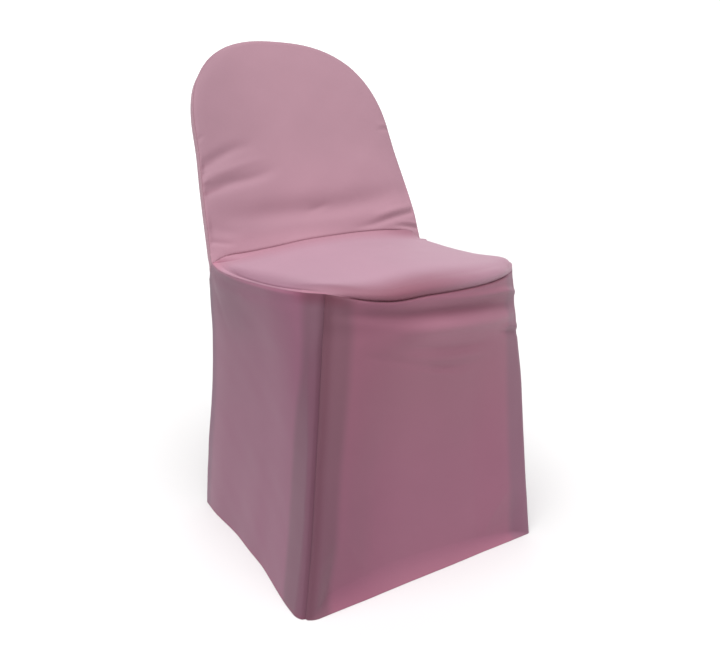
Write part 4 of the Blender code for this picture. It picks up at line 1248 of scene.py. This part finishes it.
def knit_material():
    """Matt stretch knit: the panel's tone with painted light and shade, a faint mottle, rows of V
    stitches.
    """
    material, shader = shader_material("stretch_knit_cloth", KNIT_FINISH)
    nodes = material.node_tree.nodes
    links = material.node_tree.links
    position = nodes.new("ShaderNodeTexCoord")

    def math_node(operation, first, second):
        node = nodes.new("ShaderNodeMath")
        node.operation = operation
        for socket, value in zip(node.inputs, (first, second)):
            if isinstance(value, (int, float)):
                socket.default_value = value
            else:
                links.new(value, socket)
        return node.outputs[0]

    def noise(scale, detail):
        node = nodes.new("ShaderNodeTexNoise")
        node.inputs["Scale"].default_value = scale
        node.inputs["Detail"].default_value = detail
        links.new(position.outputs["Object"], node.inputs["Vector"])
        return node.outputs["Fac"]

    place = nodes.new("ShaderNodeUVMap")
    place.uv_map = "knit"
    parts = nodes.new("ShaderNodeSeparateXYZ")
    links.new(place.outputs["UV"], parts.inputs[0])
    wale = math_node("MULTIPLY", parts.outputs["X"], 1.0 / WALE)
    course = math_node("MULTIPLY", parts.outputs["Y"], 1.0 / COURSE)
    # Each wale is a column of V stitches: its two arms rise towards the column's edges
    arm = math_node("PINGPONG", wale, 0.5)
    slanted = math_node("ADD", course, math_node("MULTIPLY", arm, STITCH_SLANT))
    turned = math_node("MULTIPLY", slanted, 2 * math.pi)
    stitch = math_node("MULTIPLY", math_node("SINE", turned, 0.0), STITCH_HEIGHT)
    groove = math_node("POWER", math_node("MULTIPLY", arm, 2.0), 0.5)
    bump = nodes.new("ShaderNodeBump")
    bump.inputs["Strength"].default_value = BUMP_STRENGTH
    bump.inputs["Distance"].default_value = BUMP_DEPTH
    height = math_node("ADD", stitch, math_node("MULTIPLY", groove, WALE_HEIGHT))
    links.new(height, bump.inputs["Height"])
    links.new(bump.outputs["Normal"], shader.inputs["Normal"])

    mottle = math_node("MULTIPLY", noise(*MOTTLE_NOISE), MOTTLE)
    yarn = math_node("MULTIPLY", noise(*YARN_NOISE), YARN)
    amount = math_node("ADD", mottle, yarn)
    amount = math_node("ADD", amount, math_node("MULTIPLY", groove, WALE_SHADE))
    brightness = math_node("ADD", amount, DARKEST)
    tone = nodes.new("ShaderNodeAttribute")
    tone.attribute_name = "tone"
    coloured = nodes.new("ShaderNodeVectorMath")
    coloured.operation = "SCALE"
    links.new(tone.outputs["Color"], coloured.inputs[0])
    links.new(brightness, coloured.inputs["Scale"])
    links.new(coloured.outputs[0], shader.inputs["Base Color"])
    return material


def back_rise(grid):
    """How far up the backrest's slope each point lies."""
    behind_start = grid[..., 1] - BACK_START_Y
    over_start = grid[..., 2] - BACK_START_HEIGHT
    return behind_start * math.sin(LEAN) + over_start * math.cos(LEAN)


def side_seams(grid):
    """The kinds of seam round a side panel, whose front corner may be its left or right edge."""
    front_is_left = grid[0, 0, 1] < grid[0, -1, 1]
    front, rear = ("left", "right") if front_is_left else ("right", "left")
    return {"top": "side_skirt", front: "corner", rear: "rim"}


def coordinates(grid, axes):
    """Two coordinates of each point, named x, y and z, or r for the rise up the backrest."""
    return [back_rise(grid) if axis == "r" else grid[..., "xyz".index(axis)] for axis in axes]


def with_folds(grid, places, folds, sewn, turn):
    """The grid with its folds and its broad unevenness, which fade out at its seams."""
    distances = from_edges(grid)
    from_edge = np.minimum.reduce([distances[edge] for edge in sewn])
    lift = lift_of_folds(*places, folds, from_edge)
    lift += ramp(from_edge, 0.0, EDGE_REACH) * unevenness(*places, turn)
    return grid + lift[..., None] * grid_normals(grid)


def make_sheets():
    """The six panels' grids with their folds, their normals and the kinds of their seams."""
    rims = {"top": "rim", "left": "rim", "right": "rim"}
    seat_seams = {"bottom": "foot", "top": "lip", "left": "side", "right": "side"}
    front_seams = {"top": "lip", "left": "corner", "right": "corner"}
    back_seams = {"bottom": "foot", **rims}
    front = front_skirt_grid()
    left = facing_out(side_skirt_grid(LEFT), -RIGHTWARD)
    right = facing_out(side_skirt_grid(RIGHT), RIGHTWARD)
    left_seams = side_seams(left)
    right_seams = side_seams(right)
    # Name, grid, way out, axes of its folds, the folds, turn of its unevenness, seams and colours
    panels = (
        ("seat_panel", seat_grid(), UP, "xy", SEAT_FOLDS, 0.4, seat_seams, seat_colours),
        ("inner_back", inner_back_grid(), -BACKWARD, "xr", BACK_FOLDS, 1.1, back_seams, back_colours),
        ("outer_back", outer_back_grid(), BACKWARD, "xz", REAR_FOLDS, 2.3, rims, rear_colours),
        ("front_skirt", front, -BACKWARD, "xz", FRONT_FOLDS, 3.2, front_seams, front_colours),
        ("side_skirt_left", left, -RIGHTWARD, "yz", SIDE_FOLDS, 4.1, left_seams, side_colours),
        ("side_skirt_right", right, RIGHTWARD, "yz", SIDE_FOLDS, 5.0, right_seams, side_colours),
    )
    sheets = {}
    for name, grid, outward, axes, folds, turn, sewn, colours in panels:
        grid = facing_out(grid, outward)
        grid = with_folds(grid, coordinates(grid, axes), folds, sewn, turn)
        sheets[name] = {"grid": grid, "sewn": sewn, "colours": colours, "normals": grid_normals(grid)}
    return sheets


def make_cloth():
    """The six cloth pieces, each fitted to its node."""
    sheets = make_sheets()
    material = knit_material()
    for name, sheet in sheets.items():
        outer, inner, shade = sewn_up(name, sheets)
        colours = sheet["colours"](sheet["grid"])
        # Lay the painted seam shade on the colours, red darkening least
        colours = colours * shade[..., None] ** np.asarray(SEAM_SHADE_TINT)
        cloth = cloth_object(f"{name}_cloth", outer, inner, colours)
        cloth.data.materials.append(material)
        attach(cloth, "root")
        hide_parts(name)


def make_floor():
    """A pale floor under the hem."""
    level = -ORIGIN_HEIGHT - FLOOR_DROP
    turns = ((-1, -1), (1, -1), (1, 1), (-1, 1))
    mesh = bpy.data.meshes.new("floor")
    mesh.from_pydata([(FLOOR_HALF * x, FLOOR_HALF * y, level) for x, y in turns], [], [(0, 1, 2, 3)])
    material, _ = shader_material("floor", FLOOR_FINISH)
    mesh.materials.append(material)
    add_object("floor", mesh)


def make_lights():
    """A broad soft lamp high in front on the left, a dim sky and a white backdrop behind the chair."""
    lamp = bpy.data.lights.new("key", "SUN")
    lamp.energy = KEY_POWER
    lamp.angle = KEY_WIDTH
    lamp.color = KEY_COLOUR
    key = add_object("key", lamp)
    key.rotation_euler = Vector(KEY_FROM).to_track_quat("Z", "Y").to_euler()
    world = bpy.data.worlds.new("studio")
    bpy.context.scene.world = world
    world.use_nodes = True
    nodes = world.node_tree.nodes
    links = world.node_tree.links
    background = nodes["Background"]
    place = nodes.new("ShaderNodeTexCoord")
    beside = nodes.new("ShaderNodeVectorMath")
    beside.operation = "DOT_PRODUCT"
    beside.inputs[1].default_value = (math.sin(CAMERA_YAW), math.cos(CAMERA_YAW), 0.0)
    links.new(place.outputs["Generated"], beside.inputs[0])
    shares = nodes.new("ShaderNodeMapRange")
    bounds = (*BACKDROP_EDGE, SKY_BRIGHTNESS, BACKDROP_BRIGHTNESS)
    for name, value in zip(("From Min", "From Max", "To Min", "To Max"), bounds):
        shares.inputs[name].default_value = value
    links.new(beside.outputs["Value"], shares.inputs["Value"])
    background.inputs["Color"].default_value = (1.0, 1.0, 1.0, 1.0)
    links.new(shares.outputs["Result"], background.inputs["Strength"])


def make_camera():
    """The camera at the photograph's viewing angle."""
    forward = Vector((
        math.sin(CAMERA_YAW) * math.cos(CAMERA_DOWN),
        math.cos(CAMERA_YAW) * math.cos(CAMERA_DOWN),
        -math.sin(CAMERA_DOWN),
    ))
    level_right = Vector((math.cos(CAMERA_YAW), -math.sin(CAMERA_YAW), 0.0))
    level_up = level_right.cross(forward)
    right = math.cos(CAMERA_ROLL) * level_right + math.sin(CAMERA_ROLL) * level_up
    up = math.cos(CAMERA_ROLL) * level_up - math.sin(CAMERA_ROLL) * level_right
    turned = Matrix((right, up, -forward)).transposed().to_4x4()
    place = Vector(CAMERA_PLACE) - Vector((0.0, 0.0, ORIGIN_HEIGHT))
    lens = bpy.data.cameras.new("camera")
    lens.lens = CAMERA_LENS
    lens.sensor_width = CAMERA_SENSOR
    camera = add_object("camera", lens)
    camera.matrix_world = Matrix.Translation(place) @ turned
    bpy.context.scene.camera = camera


make_camera()
make_cloth()
make_floor()
make_lights()
bpy.context.scene.view_settings.view_transform = "Standard"
